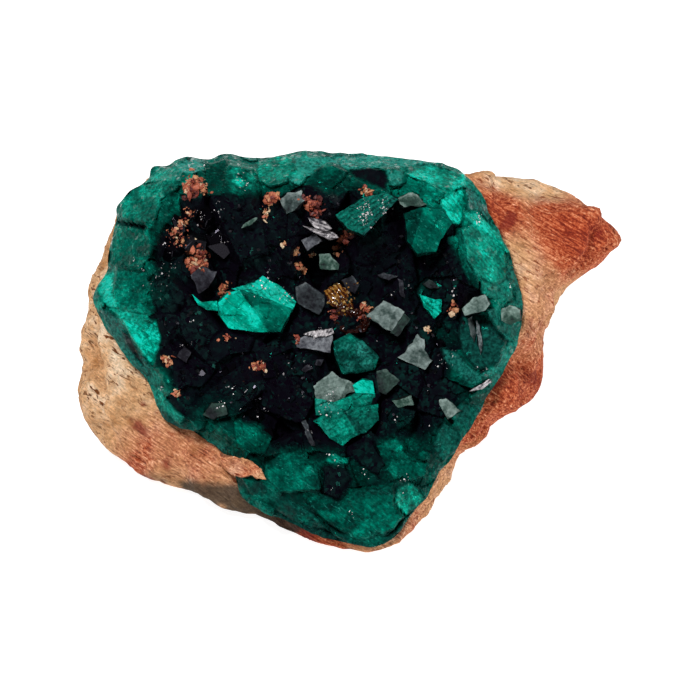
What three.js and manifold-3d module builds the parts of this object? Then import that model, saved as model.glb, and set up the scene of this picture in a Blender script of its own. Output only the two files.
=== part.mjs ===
// Dioptase specimen: a chunk of rusty limestone with one crust of emerald dioptase crystals
// lining the hollow in its front. Millimetres and degrees, +Z up, standing on its flat base.
import * as THREE from "three";
import { mergeVertices } from "three/addons/utils/BufferGeometryUtils.js";
import Module from "manifold-3d";

// The crystal face leans back from upright. In it, "across" runs right, "up" runs up the lean
// and "out" points out of the face. Its centre stands above the table at FACE_PLACE.
const LEAN = 45;
const FACE_PLACE = [0.13, -5.4, 12.8];
const TABLE_AT = FACE_PLACE[2] / Math.cos(THREE.MathUtils.degToRad(LEAN));

// Reaches are measured on the face from the heart of the hollow: [bearing, reach],
// bearings counter-clockwise from the right.
const HEART = [-2.4, 0.8];
const ROCK_REACH = [
  [0, 18.0], [6, 18.7], [12, 20.4], [16, 23.8], [18.5, 25.4], [24, 24.8], [30, 23.3], [36, 21.7],
  [42, 19.8], [50, 17.2], [60, 16.3], [75, 14.9], [90, 14.5], [105, 14.8], [120, 16.4], [132, 18.3],
  [144, 18.9], [153, 18.2], [162, 18.9], [170, 18.6], [180, 19.2], [186, 19.1], [194, 20.1],
  [201, 19.9], [210, 18.9], [218, 17.9], [228, 16.1], [240, 15.0], [252, 14.9], [264, 15.8],
  [276, 16.8], [286, 17.4], [294, 17.0], [302, 16.3], [312, 14.9], [320, 14.6], [330, 15.0],
  [338, 16.1], [347, 18.1],
];
const CRUST_REACH = [
  [0, 16.0], [8, 16.5], [20, 16.5], [34, 17.0], [42, 17.4], [50, 17.7], [59, 16.9], [70, 15.8],
  [84, 15.2], [100, 15.4], [114, 16.5], [127, 18.4], [135, 19.2], [145, 19.4], [156, 18.5],
  [161, 18.1], [169, 18.5], [174, 17.8], [182, 16.1], [194, 14.2], [207, 14.0], [216, 12.6],
  [226, 11.9], [238, 11.7], [246, 12.2], [251, 14.2], [262, 14.9], [274, 16.0], [284, 17.0],
  [289, 17.1], [296, 16.1], [304, 15.2], [312, 14.3], [324, 14.0], [340, 14.1], [352, 15.0],
];

// Rock: a rounded side from the crust's edge to the widest line, then a blunt back.
const LIP_INSET = 0.2;
const SIDE_DROP = 6.5;
const TABLE_CLEARANCE = 0.5;
const BACK_DEPTH = 19.5;
const BACK_REACH = 16;
const BACK_ROUNDING = 0.75;
const BACK_BLUNTNESS = 0.62;
const BACK_FULLNESS = 0.9;
// Its roughness: broad lumps, grit, pits where grains fell out, and sloping ledges of bedding.
const ROCK_LUMP = { rise: 0.8, length: 8 };
const ROCK_GRIT = { rise: 0.4, length: 3.1 };
const ROCK_PIT = { depth: 1.6, length: 5.5, level: 0.4, shift: 20 };
const LEDGE = { rise: 0.6, spacing: 3.4, slope: 0.3 };
// Flat breaks where it was knocked off: [across, up, out] of the way each faces, and its reach.
const BREAKS = [
  [[-0.55, 0.62, -0.56], 16.2], [[0.3, 0.8, -0.52], 16.6], [[0.72, 0.12, -0.68], 18.2],
  [[-0.9, -0.05, -0.44], 20.6], [[0.05, 0.25, -0.97], 17.6], [[0.86, -0.4, -0.3], 16.4],
  [[-0.3, 0.1, -0.95], 17.8],
];

// Crust: shares run from 0 at the heart to 1 at its broken edge.
const FACE_FALL = 0.155;
const FACE_FOOT = -16;
const HOLLOW_DEPTH = 5.2;
const HOLLOW_FLOOR = 0.25;
const HOLLOW_BRIM = 0.8;
const RIM_AT = 0.86;
const RIM_RISE = 0.9;
const RIM_WIDTH = 0.1;
const EDGE_DROP = [
  [0, 1.0], [50, 1.8], [90, 2.6], [140, 2.6], [180, 1.5], [225, 0.9], [285, 0.5], [330, 0.8],
];
const EDGE_WALL = 0.8;
const BED_THICKNESS = 2.8;
const CRUST_LUMP = { rise: 0.3, length: 4 };
const SEAT_GAP = 0.3;

// Crystals: six-sided prisms with a three-faced tip whose rhombs slope TIP_SLOPE from the level.
const TIP_SLOPE = 51;
const PRISM_LENGTH = 1.7;
// Each is [across, up, radius, turn right, turn up, apex bearing, stand]: the middle of the tip face
// that shows, how far that face turns from straight out, where its apex points, and its height above
// the bed.
const HOLLOW_CRYSTALS = [
  [2.9, 2.7, 1.85, 4, 17, 98, 1.5], [-4.6, 11.8, 1.2, -6, 20, 32, 1.4],
  [-3.2, 8.8, 1.05, 8, 14, 22, 1.1], [-1.7, 7.0, 1.05, 5, 20, -25, 1.0],
  [-3.0, 0.8, 1.45, -8, 42, 12, 1.4], [0.5, -0.4, 1.9, 16, 30, 70, 1.5],
  [-0.4, -3.4, 2.4, -6, 32, 100, 2.2], [-0.3, -6.2, 2.2, 6, 14, 80, 1.5],
  [5.2, -0.2, 1.6, 10, 18, 205, 1.4], [8.0, -4.6, 1.1, 4, 18, 150, 1.2],
  [10.1, 3.8, 1.25, -4, 26, 20, 1.3], [12.9, 2.8, 0.95, 6, 18, 60, 0.9],
  [4.8, 12.0, 1.4, 4, 34, 170, 1.2], [1.2, 10.9, 2.2, -18, 24, 40, 1.6],
  [5.9, 9.4, 2.2, 12, 8, 110, 1.5], [6.6, 4.0, 1.15, 24, -8, 300, 1.0],
  [-11.6, 5.6, 1.2, 14, 22, 60, 1.0], [-3.2, 4.2, 1.25, -22, 10, 240, 1.1],
  [3.2, -3.0, 1.35, 20, 12, 30, 1.0], [4.8, -4.2, 1.1, -14, 30, 130, 0.9],
  [8.2, -6.3, 1.25, 22, 6, 75, 0.9], [7.6, -8.1, 1.35, 18, 10, 20, 0.8],
  [10.7, -3.2, 1.3, 26, 10, 100, 0.8], [11.6, 0.6, 1.7, 18, -6, 330, 1.0],
  [4.1, -9.0, 1.6, 8, -6, 260, 0.9], [1.3, -8.3, 1.7, -10, 20, 120, 0.9],
  [-1.4, -10.4, 1.5, -4, 22, 70, 0.8], [-10.6, 9.6, 1.5, 12, -10, 300, 0.9],
  [-7.4, 8.2, 1.8, -12, 12, 160, 0.9], [-13.0, 1.2, 1.6, 24, 6, 45, 0.9],
  [-10.2, -1.2, 1.7, -10, 26, 120, 0.9], [-6.4, -4.2, 1.8, 10, 12, 200, 0.9],
  [-10.6, -4.4, 1.5, 14, 18, 80, 0.8], [-5.4, -7.6, 1.5, -8, 8, 50, 0.7],
  [2.2, 6.4, 1.7, -14, 6, 280, 0.9], [7.8, 7.0, 1.4, -24, 10, 190, 0.9],
  [8.6, 0.4, 1.4, 6, 34, 130, 1.0], [-7.0, 12.2, 1.3, 10, 2, 220, 0.8],
];
// Big broken crystals side by side along the rim, in the same terms.
const RIM_CRYSTALS = [
  [-15.9, 12.6, 2.7, -20, 28, 110, 0.4], [-17.2, 9.4, 2.7, -26, 8, 60, 0.3],
  [-17.5, 5.8, 2.6, -28, 10, 130, 0.3], [-17.8, 2.9, 2.4, -30, -4, 80, 0.3],
  [-16.0, 1.2, 2.3, 4, -16, 200, 0.5], [-12.8, 13.7, 2.5, -8, 30, 30, 0.3],
  [-9.2, 13.4, 2.8, 4, 28, 120, 0.3], [-5.2, 13.9, 2.6, -6, 34, 70, 0.2],
  [-1.6, 13.6, 2.8, 8, 32, 20, 0.2], [1.8, 14.0, 2.5, -4, 36, 100, 0.2],
  [4.9, 14.0, 2.6, 6, 34, 60, 0.2], [8.0, 12.9, 2.9, 14, 26, 100, 0.4],
  [9.0, 10.4, 2.6, 18, 8, 150, 0.5], [10.9, 8.6, 2.7, 28, 12, 60, 0.3],
  [11.5, 5.8, 2.8, 26, 4, 110, 0.3], [12.6, -0.6, 2.1, 30, -4, 70, 0.3],
  [4.8, -11.6, 2.3, 20, -14, 320, 0.4], [2.5, -13.1, 2.1, 8, -22, 250, 0.3],
  [-1.0, -12.9, 2.3, -6, -20, 290, 0.3], [-4.3, -11.7, 2.1, -12, -18, 240, 0.3],
  [-7.0, -9.4, 1.7, -16, -12, 200, 0.3], [-12.1, -5.6, 1.6, -14, -8, 220, 0.3],
];
// Long crystals lying on their sides in the hollow: their two ends, and their radius.
const LYING_CRYSTALS = [
  { foot: [-13.0, 4.6, -6.0], tip: [-6.4, 3.2, -3.4], radius: 2.2 },
  { foot: [-9.6, 2.2, -5.6], tip: [-7.2, 4.6, -2.8], radius: 1.7 },
];
// Small crystals between them, spread over the hollow at the sunflower's angle.
const FILLER_COUNT = 34;
const FILLER_RADIUS = [0.6, 1.25];
const FILLER_STAND = 0.5;
const FILLER_SPREAD = 0.84;
const FILLER_TURN = 38;
const SUNFLOWER_ANGLE = 137.508;
const SCATTER_STEPS = [0.7549, 0.5698, 0.8192, 0.6711];

const BEARINGS = 72;
const BED_RINGS = [0.25, 0.48, 0.64, 0.76, 0.84, 0.89, 0.94, 0.97, 1];
const SEAT_RINGS = [0.3, 0.55, 0.78, 1];
const SIDE_STEPS = 6;
const BACK_STEPS = 11;
const LUMP_WAVES = 7;
const LUMP_SPREAD = [0.6, 1.4];
const LUMP_PHASE = 2.4;
const GOLDEN_SHARE = 0.618;
const HEADROOM = 14;
const TABLE_SIZE = 200;
const MERGE_DISTANCE = 1e-4;

const wasm = await Module();
wasm.setup();

const cosine = (bearing) => Math.cos(THREE.MathUtils.degToRad(bearing));
const sine = (bearing) => Math.sin(THREE.MathUtils.degToRad(bearing));
const tangent = (bearing) => Math.tan(THREE.MathUtils.degToRad(bearing));
const between = (from, to, share) => from + (to - from) * share;
const fraction = (value) => value - Math.floor(value);

// A value that runs smoothly round the face through a list of [bearing, value].
function around(list, bearing) {
  const turn = ((bearing % 360) + 360) % 360;
  let next = list.findIndex(([at]) => at > turn);
  if (next < 0) next = list.length;
  const knot = (i) => {
    const wrapped = (i + list.length) % list.length;
    return [list[wrapped][0] + 360 * Math.floor(i / list.length), list[wrapped][1]];
  };
  const [before, from, to, after] = [next - 2, next - 1, next, next + 1].map(knot);
  const span = to[0] - from[0];
  const share = (turn - from[0]) / span;
  const fromSlope = ((to[1] - before[1]) / (to[0] - before[0])) * span;
  const toSlope = ((after[1] - from[1]) / (after[0] - from[0])) * span;
  const square = share * share;
  const cube = square * share;
  return (2 * cube - 3 * square + 1) * from[1] + (cube - 2 * square + share) * fromSlope +
    (3 * square - 2 * cube) * to[1] + (cube - square) * toSlope;
}

// Gentle lumps in space: waves of unlike lengths in directions spread over a sphere, about -1 to 1.
function lumps(point, length) {
  let sum = 0;
  for (let i = 0; i < LUMP_WAVES; i++) {
    const height = 1 - (2 * i + 1) / LUMP_WAVES;
    const flat = Math.sqrt(1 - height * height);
    const heading = i * SUNFLOWER_ANGLE;
    const along = flat * (point.x * cosine(heading) + point.y * sine(heading)) + height * point.z;
    const wave = length * between(...LUMP_SPREAD, fraction(i * GOLDEN_SHARE));
    sum += Math.sin((2 * Math.PI * along) / wave + LUMP_PHASE * i);
  }
  return (2 * sum) / LUMP_WAVES;
}

// A point of the face from its bearing and reach, and how far out it is.
const facePoint = (bearing, reach, out) =>
  new THREE.Vector3(HEART[0] + reach * cosine(bearing), HEART[1] + reach * sine(bearing), out);

const rockReach = (bearing) => around(ROCK_REACH, bearing);
const crustReach = (bearing) => around(CRUST_REACH, bearing);

// The crust's top before its crystals: a hollow with a raised rim that rolls over to a broken edge.
function bedOut(bearing, share) {
  const flat = facePoint(bearing, share * crustReach(bearing), 0);
  const hollow = HOLLOW_DEPTH * (1 - THREE.MathUtils.smoothstep(share, HOLLOW_FLOOR, HOLLOW_BRIM));
  const rim = RIM_RISE * Math.exp(-(((share - RIM_AT) / RIM_WIDTH) ** 2));
  const edge = Math.max(0, (share - RIM_AT) / (1 - RIM_AT)) ** 2 * around(EDGE_DROP, bearing);
  const lump = CRUST_LUMP.rise * lumps(flat, CRUST_LUMP.length);
  return FACE_FALL * (FACE_FOOT - flat.y) - hollow + rim - edge + lump;
}

// The crust's underside, a plain bowl that ends in a wall at the broken edge.
function seatOut(bearing, share) {
  const flat = facePoint(bearing, share * crustReach(bearing), 0);
  const edge = around(EDGE_DROP, bearing) + EDGE_WALL;
  const depth = HOLLOW_DEPTH + BED_THICKNESS - edge;
  const bowl = depth * (1 - THREE.MathUtils.smoothstep(share, HOLLOW_FLOOR, 1));
  return FACE_FALL * (FACE_FOOT - flat.y) - edge - bowl;
}

// A closed skin through rings of points, with a single point at its first and last end.
function skin(first, rings, last) {
  const points = [first, ...rings.flat(), last];
  const count = rings[0].length;
  const index = [];
  const at = (ring, i) => 1 + ring * count + (i % count);
  for (let i = 0; i < count; i++) {
    index.push(0, at(0, i), at(0, i + 1));
    for (let ring = 0; ring + 1 < rings.length; ring++) {
      index.push(at(ring, i), at(ring + 1, i), at(ring + 1, i + 1));
      index.push(at(ring, i), at(ring + 1, i + 1), at(ring, i + 1));
    }
    index.push(points.length - 1, at(rings.length - 1, i + 1), at(rings.length - 1, i));
  }
  return new THREE.BufferGeometry().setFromPoints(points).setIndex(index);
}

const ring = (place) =>
  Array.from({ length: BEARINGS }, (_, i) => place((360 * i) / BEARINGS));

function solidOf(geometry) {
  const bare = geometry.clone();
  bare.deleteAttribute("normal");
  bare.deleteAttribute("uv");
  const merged = mergeVertices(bare, MERGE_DISTANCE);
  const vertProperties = new Float32Array(merged.attributes.position.array);
  const triVerts = new Uint32Array(merged.index.array);
  return new wasm.Manifold(new wasm.Mesh({ numProp: 3, vertProperties, triVerts }));
}

function geometryOf(solid) {
  const { vertProperties, triVerts } = solid.getMesh();
  const geometry = new THREE.BufferGeometry();
  geometry.setAttribute("position", new THREE.BufferAttribute(vertProperties, 3));
  geometry.setIndex(new THREE.BufferAttribute(triVerts, 1));
  geometry.computeVertexNormals();
  return geometry;
}

const toTable = new THREE.Matrix4()
  .makeRotationX(THREE.MathUtils.degToRad(LEAN))
  .setPosition(...FACE_PLACE);

// How far the rock's surface stands proud of its smooth form at a point.
function rockRelief(point) {
  const lump = ROCK_LUMP.rise * lumps(point, ROCK_LUMP.length);
  const grit = ROCK_GRIT.rise * lumps(point, ROCK_GRIT.length);
  const shifted = point.clone().addScalar(ROCK_PIT.shift);
  const pit = ROCK_PIT.depth * Math.max(0, lumps(shifted, ROCK_PIT.length) - ROCK_PIT.level);
  const step = fraction((point.z + LEDGE.slope * point.x) / LEDGE.spacing);
  return lump + grit - pit + LEDGE.rise * (Math.abs(2 * step - 1) - 0.5);
}

function roughen(point, amount) {
  const away = new THREE.Vector3(point.x - HEART[0], point.y - HEART[1], 0).normalize();
  return point.addScaledVector(away, amount * rockRelief(point));
}

// Pulls what stands beyond a break back on to it.
function knockOff(point) {
  for (const [facing, reach] of BREAKS) {
    const normal = new THREE.Vector3(...facing).normalize();
    point.addScaledVector(normal, -Math.max(0, point.dot(normal) - reach));
  }
  return point;
}

// The rock: the hollow that the crust sits in, its side and its back, cut flat where it stands.
function rockSolid() {
  const lipReach = (bearing) =>
    Math.min(crustReach(bearing) + SEAT_GAP, rockReach(bearing) - LIP_INSET);
  const seat = (bearing, share) => {
    const reach = share * lipReach(bearing);
    return facePoint(bearing, reach, seatOut(bearing, Math.min(1, reach / crustReach(bearing))) - SEAT_GAP);
  };
  const widest = (bearing) => {
    const up = HEART[1] + rockReach(bearing) * sine(bearing);
    const floor = TABLE_CLEARANCE - TABLE_AT - up;
    return facePoint(bearing, rockReach(bearing), Math.max(seat(bearing, 1).z - SIDE_DROP, floor));
  };
  const side = (share) =>
    ring((bearing) => {
      const turn = 90 * share;
      const reach = between(lipReach(bearing), rockReach(bearing), sine(turn));
      const out = between(seat(bearing, 1).z, widest(bearing).z, 1 - cosine(turn));
      return roughen(facePoint(bearing, reach, out), sine(180 * share));
    });
  const back = (share) =>
    ring((bearing) => {
      const turn = 90 * share;
      const rounded = between(rockReach(bearing), BACK_REACH, BACK_ROUNDING * share);
      const out = between(widest(bearing).z, -BACK_DEPTH, sine(turn) ** BACK_FULLNESS);
      const smooth = facePoint(bearing, rounded * cosine(turn) ** BACK_BLUNTNESS, out);
      return knockOff(roughen(smooth, sine(180 * share)));
    });
  const seatRings = SEAT_RINGS.map((share) => ring((bearing) => seat(bearing, share)));
  const sideRings = Array.from({ length: SIDE_STEPS }, (_, i) => side((i + 1) / SIDE_STEPS));
  const backRings = Array.from({ length: BACK_STEPS - 1 }, (_, i) => back((i + 1) / BACK_STEPS));
  const whole = skin(
    facePoint(0, 0, seatOut(0, 0) - SEAT_GAP),
    [...seatRings, ...sideRings, ...backRings],
    knockOff(facePoint(0, 0, -BACK_DEPTH)),
  );
  const table = new THREE.BoxGeometry(TABLE_SIZE, TABLE_SIZE, TABLE_SIZE);
  table.translate(0, 0, -TABLE_SIZE / 2);
  return solidOf(whole.applyMatrix4(toTable)).subtract(solidOf(table));
}

// One crystal standing on its own axis, its three low tip corners at height 0.
function crystalGeometry(radius, length) {
  const rise = tangent(TIP_SLOPE) * radius;
  const corners = [0, 60, 120, 180, 240, 300];
  const point = (bearing, height) =>
    new THREE.Vector3(radius * cosine(bearing), radius * sine(bearing), height);
  const foot = corners.map((bearing) => point(bearing, -length));
  const shoulder = corners.map((bearing, i) => point(bearing, i % 2 ? rise / 2 : 0));
  return skin(new THREE.Vector3(0, 0, rise), [shoulder, foot], new THREE.Vector3(0, 0, -length));
}

// A crystal turned so that the middle of one tip face is at a place, facing and pointing as asked.
function placedCrystal(place, radius, turnRight, turnUp, apexBearing) {
  const facing = new THREE.Vector3(tangent(turnRight), tangent(turnUp), 1).normalize();
  const apex = new THREE.Vector3(cosine(apexBearing), sine(apexBearing), 0);
  apex.addScaledVector(facing, -apex.dot(facing)).normalize();
  const axis = facing.clone().multiplyScalar(cosine(TIP_SLOPE)).addScaledVector(apex, sine(TIP_SLOPE));
  const spoke = facing.clone().multiplyScalar(sine(TIP_SLOPE)).addScaledVector(apex, -cosine(TIP_SLOPE));
  const turned = new THREE.Matrix4().makeBasis(spoke, axis.clone().cross(spoke), axis);
  const middle = new THREE.Vector3(radius / 2, 0, (tangent(TIP_SLOPE) * radius) / 2).applyMatrix4(turned);
  turned.setPosition(place.clone().sub(middle));
  return crystalGeometry(radius, PRISM_LENGTH * radius).applyMatrix4(turned);
}

function bedAt(across, up) {
  const flat = new THREE.Vector2(across - HEART[0], up - HEART[1]);
  const bearing = THREE.MathUtils.radToDeg(flat.angle());
  return bedOut(bearing, flat.length() / crustReach(bearing));
}

function listedCrystal([across, up, radius, turnRight, turnUp, apexBearing, stand]) {
  const place = new THREE.Vector3(across, up, bedAt(across, up) + stand);
  return placedCrystal(place, radius, turnRight, turnUp, apexBearing);
}

function fillerCrystal(i) {
  const [size, right, up, pointing] = SCATTER_STEPS.map((step) => fraction(i * step));
  const bearing = i * SUNFLOWER_ANGLE;
  const share = FILLER_SPREAD * Math.sqrt((i + 0.5) / FILLER_COUNT);
  const radius = between(...FILLER_RADIUS, size);
  const out = bedOut(bearing, share) + FILLER_STAND * radius;
  const place = facePoint(bearing, share * crustReach(bearing), out);
  const [turnRight, turnUp] = [right, up].map((spot) => FILLER_TURN * (2 * spot - 1));
  return placedCrystal(place, radius, turnRight, turnUp, 360 * pointing);
}

function lyingCrystal({ foot, tip, radius }) {
  const from = new THREE.Vector3(...foot);
  const to = new THREE.Vector3(...tip);
  const axis = to.clone().sub(from).normalize();
  const turned = new THREE.Quaternion().setFromUnitVectors(new THREE.Vector3(0, 0, 1), axis);
  return crystalGeometry(radius, to.distanceTo(from)).applyQuaternion(turned).translate(to.x, to.y, to.z);
}

// The crust: its bed with every crystal grown on it, trimmed to its seat in the rock.
function crustSolid() {
  const rings = (shares, out) =>
    shares.map((share) =>
      ring((bearing) => facePoint(bearing, share * crustReach(bearing), out(bearing, share))));
  const topRings = rings(BED_RINGS, bedOut);
  const seatRings = rings([...SEAT_RINGS].reverse(), seatOut);
  const lidRings = rings(SEAT_RINGS, () => HEADROOM);
  const seatMiddle = facePoint(0, 0, seatOut(0, 0));
  const bed = solidOf(skin(facePoint(0, 0, bedOut(0, 0)), [...topRings, ...seatRings], seatMiddle));
  const room = solidOf(skin(facePoint(0, 0, HEADROOM), [...lidRings, ...seatRings], seatMiddle));
  const crystals = [
    ...RIM_CRYSTALS.map(listedCrystal),
    ...HOLLOW_CRYSTALS.map(listedCrystal),
    ...Array.from({ length: FILLER_COUNT }, (_, i) => fillerCrystal(i)),
    ...LYING_CRYSTALS.map(lyingCrystal),
  ].map(solidOf);
  const grown = crystals.reduce((all, crystal) => all.add(crystal)).intersect(room);
  return bed.add(grown).transform(toTable.elements);
}

const limestone = new THREE.MeshStandardMaterial({ color: 0xc98f68, roughness: 0.95, metalness: 0 });
const dioptase = new THREE.MeshStandardMaterial({ color: 0x05705c, roughness: 0.15, metalness: 0 });

function piece(name, solid, material) {
  const mesh = new THREE.Mesh(geometryOf(solid), material);
  mesh.name = name;
  return mesh;
}

const specimen = new THREE.Group();
specimen.add(piece("matrix", rockSolid(), limestone));
specimen.add(piece("dioptase_crust", crustSolid(), dioptase));

export default specimen;
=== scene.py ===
import math

import bpy
import numpy as np
from mathutils import Matrix, Vector
from mathutils.bvhtree import BVHTree


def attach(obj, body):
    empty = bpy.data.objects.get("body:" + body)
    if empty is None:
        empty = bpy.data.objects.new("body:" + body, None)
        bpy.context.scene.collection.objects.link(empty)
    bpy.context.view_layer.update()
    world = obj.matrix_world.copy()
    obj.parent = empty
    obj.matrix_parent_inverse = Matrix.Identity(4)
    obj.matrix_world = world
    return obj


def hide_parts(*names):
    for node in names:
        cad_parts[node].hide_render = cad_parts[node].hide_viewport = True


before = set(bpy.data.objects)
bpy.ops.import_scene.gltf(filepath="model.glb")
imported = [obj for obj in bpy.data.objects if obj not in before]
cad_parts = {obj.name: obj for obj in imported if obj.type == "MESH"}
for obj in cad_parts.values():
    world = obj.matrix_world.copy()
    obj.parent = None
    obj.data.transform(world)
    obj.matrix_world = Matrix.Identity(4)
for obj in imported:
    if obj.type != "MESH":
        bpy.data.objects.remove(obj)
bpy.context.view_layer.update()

# Dioptase specimen: a rusty limestone chunk whose leaning face carries a hollow crust of green crystals.
# Shapes are worked out in millimetres on that face: across to the right, up its lean, out of it.

mm = 0.001
sunflowerTurn = 137.508  # degrees from one seed to the next, which spreads them evenly
luck = np.random.default_rng(11)

face = {
    "place": (0.13, -5.4, 12.8),  # middle of the face above the table
    "lean": 45,                   # degrees back from upright
    "heart": (-2.4, 0.8),         # middle of the hollow, across and up
    "pixel": 0.08,                # size of one pixel of the photograph on the face
    "middle": 350,                # pixel at the middle of the photograph
}


def sine(degrees):
    return np.sin(np.radians(degrees))


def cosine(degrees):
    return np.cos(np.radians(degrees))


def tangent(degrees):
    return np.tan(np.radians(degrees))


def smooth(value, start, end):
    share = np.clip((value - start) / (end - start), 0, 1)
    return share * share * (3 - 2 * share)


# a turn about the across axis by the lean, then a shift to the face's place
def toWorld(points):
    across, up, out = np.moveaxis(np.asarray(points, float), -1, 0)
    rise, run = sine(face["lean"]), cosine(face["lean"])
    x, y, z = face["place"]
    return np.stack([x + across, y + up * run - out * rise, z + up * rise + out * run], -1)


def fromPhoto(pixels):
    pixels = np.asarray(pixels, float)
    return (pixels - face["middle"]) * face["pixel"] * np.array([1, -1])


def facePoints(bearing, reach, out):
    bearing, reach, out = np.broadcast_arrays(bearing, reach, out)
    heart = face["heart"]
    return np.stack([heart[0] + reach * cosine(bearing), heart[1] + reach * sine(bearing), out], -1)


# a smooth closed curve through (bearing, value) knots: Catmull-Rom, a cubic between two knots
def around(knots, bearing):
    at, value = np.array(knots, float).T
    turn = np.mod(bearing, 360.0)
    index = np.searchsorted(at, turn, side="right")[..., None] + np.arange(-2, 2)
    x = at[index % len(at)] + 360 * (index // len(at))
    y = value[index % len(at)]
    span = x[..., 2] - x[..., 1]
    share = (turn - x[..., 1]) / span
    fromSlope = (y[..., 2] - y[..., 0]) / (x[..., 2] - x[..., 0]) * span
    toSlope = (y[..., 3] - y[..., 1]) / (x[..., 3] - x[..., 1]) * span
    square, cube = share**2, share**3
    return ((2 * cube - 3 * square + 1) * y[..., 1] + (cube - 2 * square + share) * fromSlope
            + (3 * square - 2 * cube) * y[..., 2] + (cube - square) * toSlope)


# the sum of seven sine waves of unlike lengths, their directions spread over a sphere
def lumps(points, length):
    waves, shortest, span, stride, phase = 7, 0.6, 0.8, 0.618, 2.4
    total = 0
    for i in range(waves):
        height = 1 - (2 * i + 1) / waves
        flat = math.sqrt(1 - height * height)
        heading = i * sunflowerTurn
        along = flat * (points[..., 0] * cosine(heading) + points[..., 1] * sine(heading))
        along = along + height * points[..., 2]
        wave = length * (shortest + span * (i * stride % 1))
        total = total + np.sin(2 * np.pi * along / wave + phase * i)
    return total * 2 / waves


# a number from -1 to 1 for each cell of a lattice, always the same for the same cell and seed
def hashed(cells, seed):
    steps, seedStep, stir, mask = (374761393, 668265263, 1442695041), 97463, 1274126177, 0xFFFFFFFF
    code = seed * seedStep + sum(cells[..., axis] * steps[axis] for axis in range(cells.shape[-1]))
    code = code & mask
    code = ((code ^ (code >> 13)) * stir) & mask
    return ((code ^ (code >> 16)) & 0xFFFF) / 32767.5 - 1


# value noise from -1 to 1: a hashed number on each corner of a lattice, blended smoothly between them
def grain(points, size, seed=0):
    seedShift = 31.7
    spot = np.asarray(points, float) / size + seedShift * (seed + 1)
    cell = np.floor(spot).astype(np.int64)
    share = smooth(spot - cell, 0, 1)
    total = 0
    for corner in np.ndindex(2, 2, 2):
        weight = np.prod(np.where(np.array(corner) == 1, share, 1 - share), -1)
        total = total + hashed(cell + corner, seed) * weight
    return total


# noise at a size, its half, its quarter and so on, each half as strong
def fractal(points, size, octaves=3, seed=0):
    return sum(grain(points, size / 2**i, seed + i) / 2**i for i in range(octaves))


# a mosaic of tilted flats: each spot lies on the plane of its nearest scattered seed, as on broken crystal
def mosaic(across, up, size, seed):
    stray, step = 0.45, 0.35  # how far a seed strays from its cell's middle, and flats differ in level
    spot = np.stack([across, up], -1) / size
    cell = np.floor(spot).astype(np.int64)
    nearest = np.full(across.shape, np.inf)
    height, tint = np.zeros(across.shape), np.zeros(across.shape)
    for neighbour in np.ndindex(3, 3):
        at = cell + np.array(neighbour) - 1
        away = spot - at - 0.5 - stray * np.stack([hashed(at, seed), hashed(at, seed + 1)], -1)
        distance = np.sum(away**2, -1)
        level = hashed(at, seed + 4)
        plane = hashed(at, seed + 2) * away[..., 0] + hashed(at, seed + 3) * away[..., 1] + step * level
        nearer = distance < nearest
        height, tint = np.where(nearer, plane, height), np.where(nearer, level, tint)
        nearest = np.minimum(nearest, distance)
    return height * size, tint


# soft round patches by photograph pixel: x, y, radius in mm, strength
def patches(points, rows):
    total = np.zeros(points.shape[:-1])
    for x, y, radius, strength in rows:
        across, up = fromPhoto((x, y))
        total += strength * np.exp(-((points[..., 0] - across)**2 + (points[..., 1] - up)**2) / radius**2)
    return total


# rings of points with a pole at each end: quads between rings, a fan of triangles at each pole
def skinFaces(ringCount, count):
    here = np.arange(count)
    beside = (here + 1) % count
    ring = 1 + count * np.arange(ringCount - 1)[:, None]
    quads = np.stack([ring + here, ring + count + here, ring + count + beside, ring + beside], -1)
    last = 1 + count * (ringCount - 1)
    fans = [np.stack([0 * here, 1 + here, 1 + beside], -1),
            np.stack([0 * here + last + count, last + beside, last + here], -1)]
    return [quads.reshape(-1, 4), np.concatenate(fans)]


def makePiece(name, points, faces, material, slot, sharpAngle=30, **values):
    corners = np.concatenate([part.ravel() for part in faces])
    sizes = np.concatenate([np.full(len(part), part.shape[1]) for part in faces])
    mesh = bpy.data.meshes.new(name)
    mesh.vertices.add(len(points))
    mesh.vertices.foreach_set("co", (points * mm).ravel())
    mesh.loops.add(len(corners))
    mesh.loops.foreach_set("vertex_index", corners)
    mesh.polygons.add(len(sizes))
    mesh.polygons.foreach_set("loop_start", np.concatenate([[0], np.cumsum(sizes)[:-1]]))
    mesh.polygons.foreach_set("use_smooth", np.ones(len(sizes), bool))
    mesh.update(calc_edges=True)
    mesh.set_sharp_from_angle(angle=math.radians(sharpAngle))
    for word, value in values.items():
        mesh.attributes.new(word, "FLOAT", "POINT").data.foreach_set("value", np.asarray(value, float))
    mesh.materials.append(material)
    piece = bpy.data.objects.new(name, mesh)
    bpy.context.collection.objects.link(piece)
    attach(piece, "root")
    print(name, len(points), "points", int((sizes - 2).sum()), "triangles")
    return piece


# Materials

def linear(hexColour):
    parts = [int(hexColour[i:i + 2], 16) / 255 for i in (1, 3, 5)]
    return tuple(part / 12.92 if part < 0.04045 else ((part + 0.055) / 1.055)**2.4 for part in parts) + (1,)


def perMetre(size):
    return 1 / (size * mm)  # a texture's scale that repeats every so many millimetres


def newMaterial(name):
    material = bpy.data.materials.new(name)
    material.use_nodes = True
    material.node_tree.nodes.clear()
    return material, material.node_tree


# place, turn and size of a pattern drawn out along a line that runs down to the right on the leaning face
def drawnOut(place, size, turn):
    lean = Matrix.Rotation(math.radians(face["lean"]), 3, "X")
    spin = Matrix.Rotation(math.radians(-turn), 3, "Z")
    return {"Vector": place, "Rotation": (lean @ spin).to_euler(),
            "Scale": (size[0] * mm, size[1] * mm, size[1] * mm)}


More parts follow.
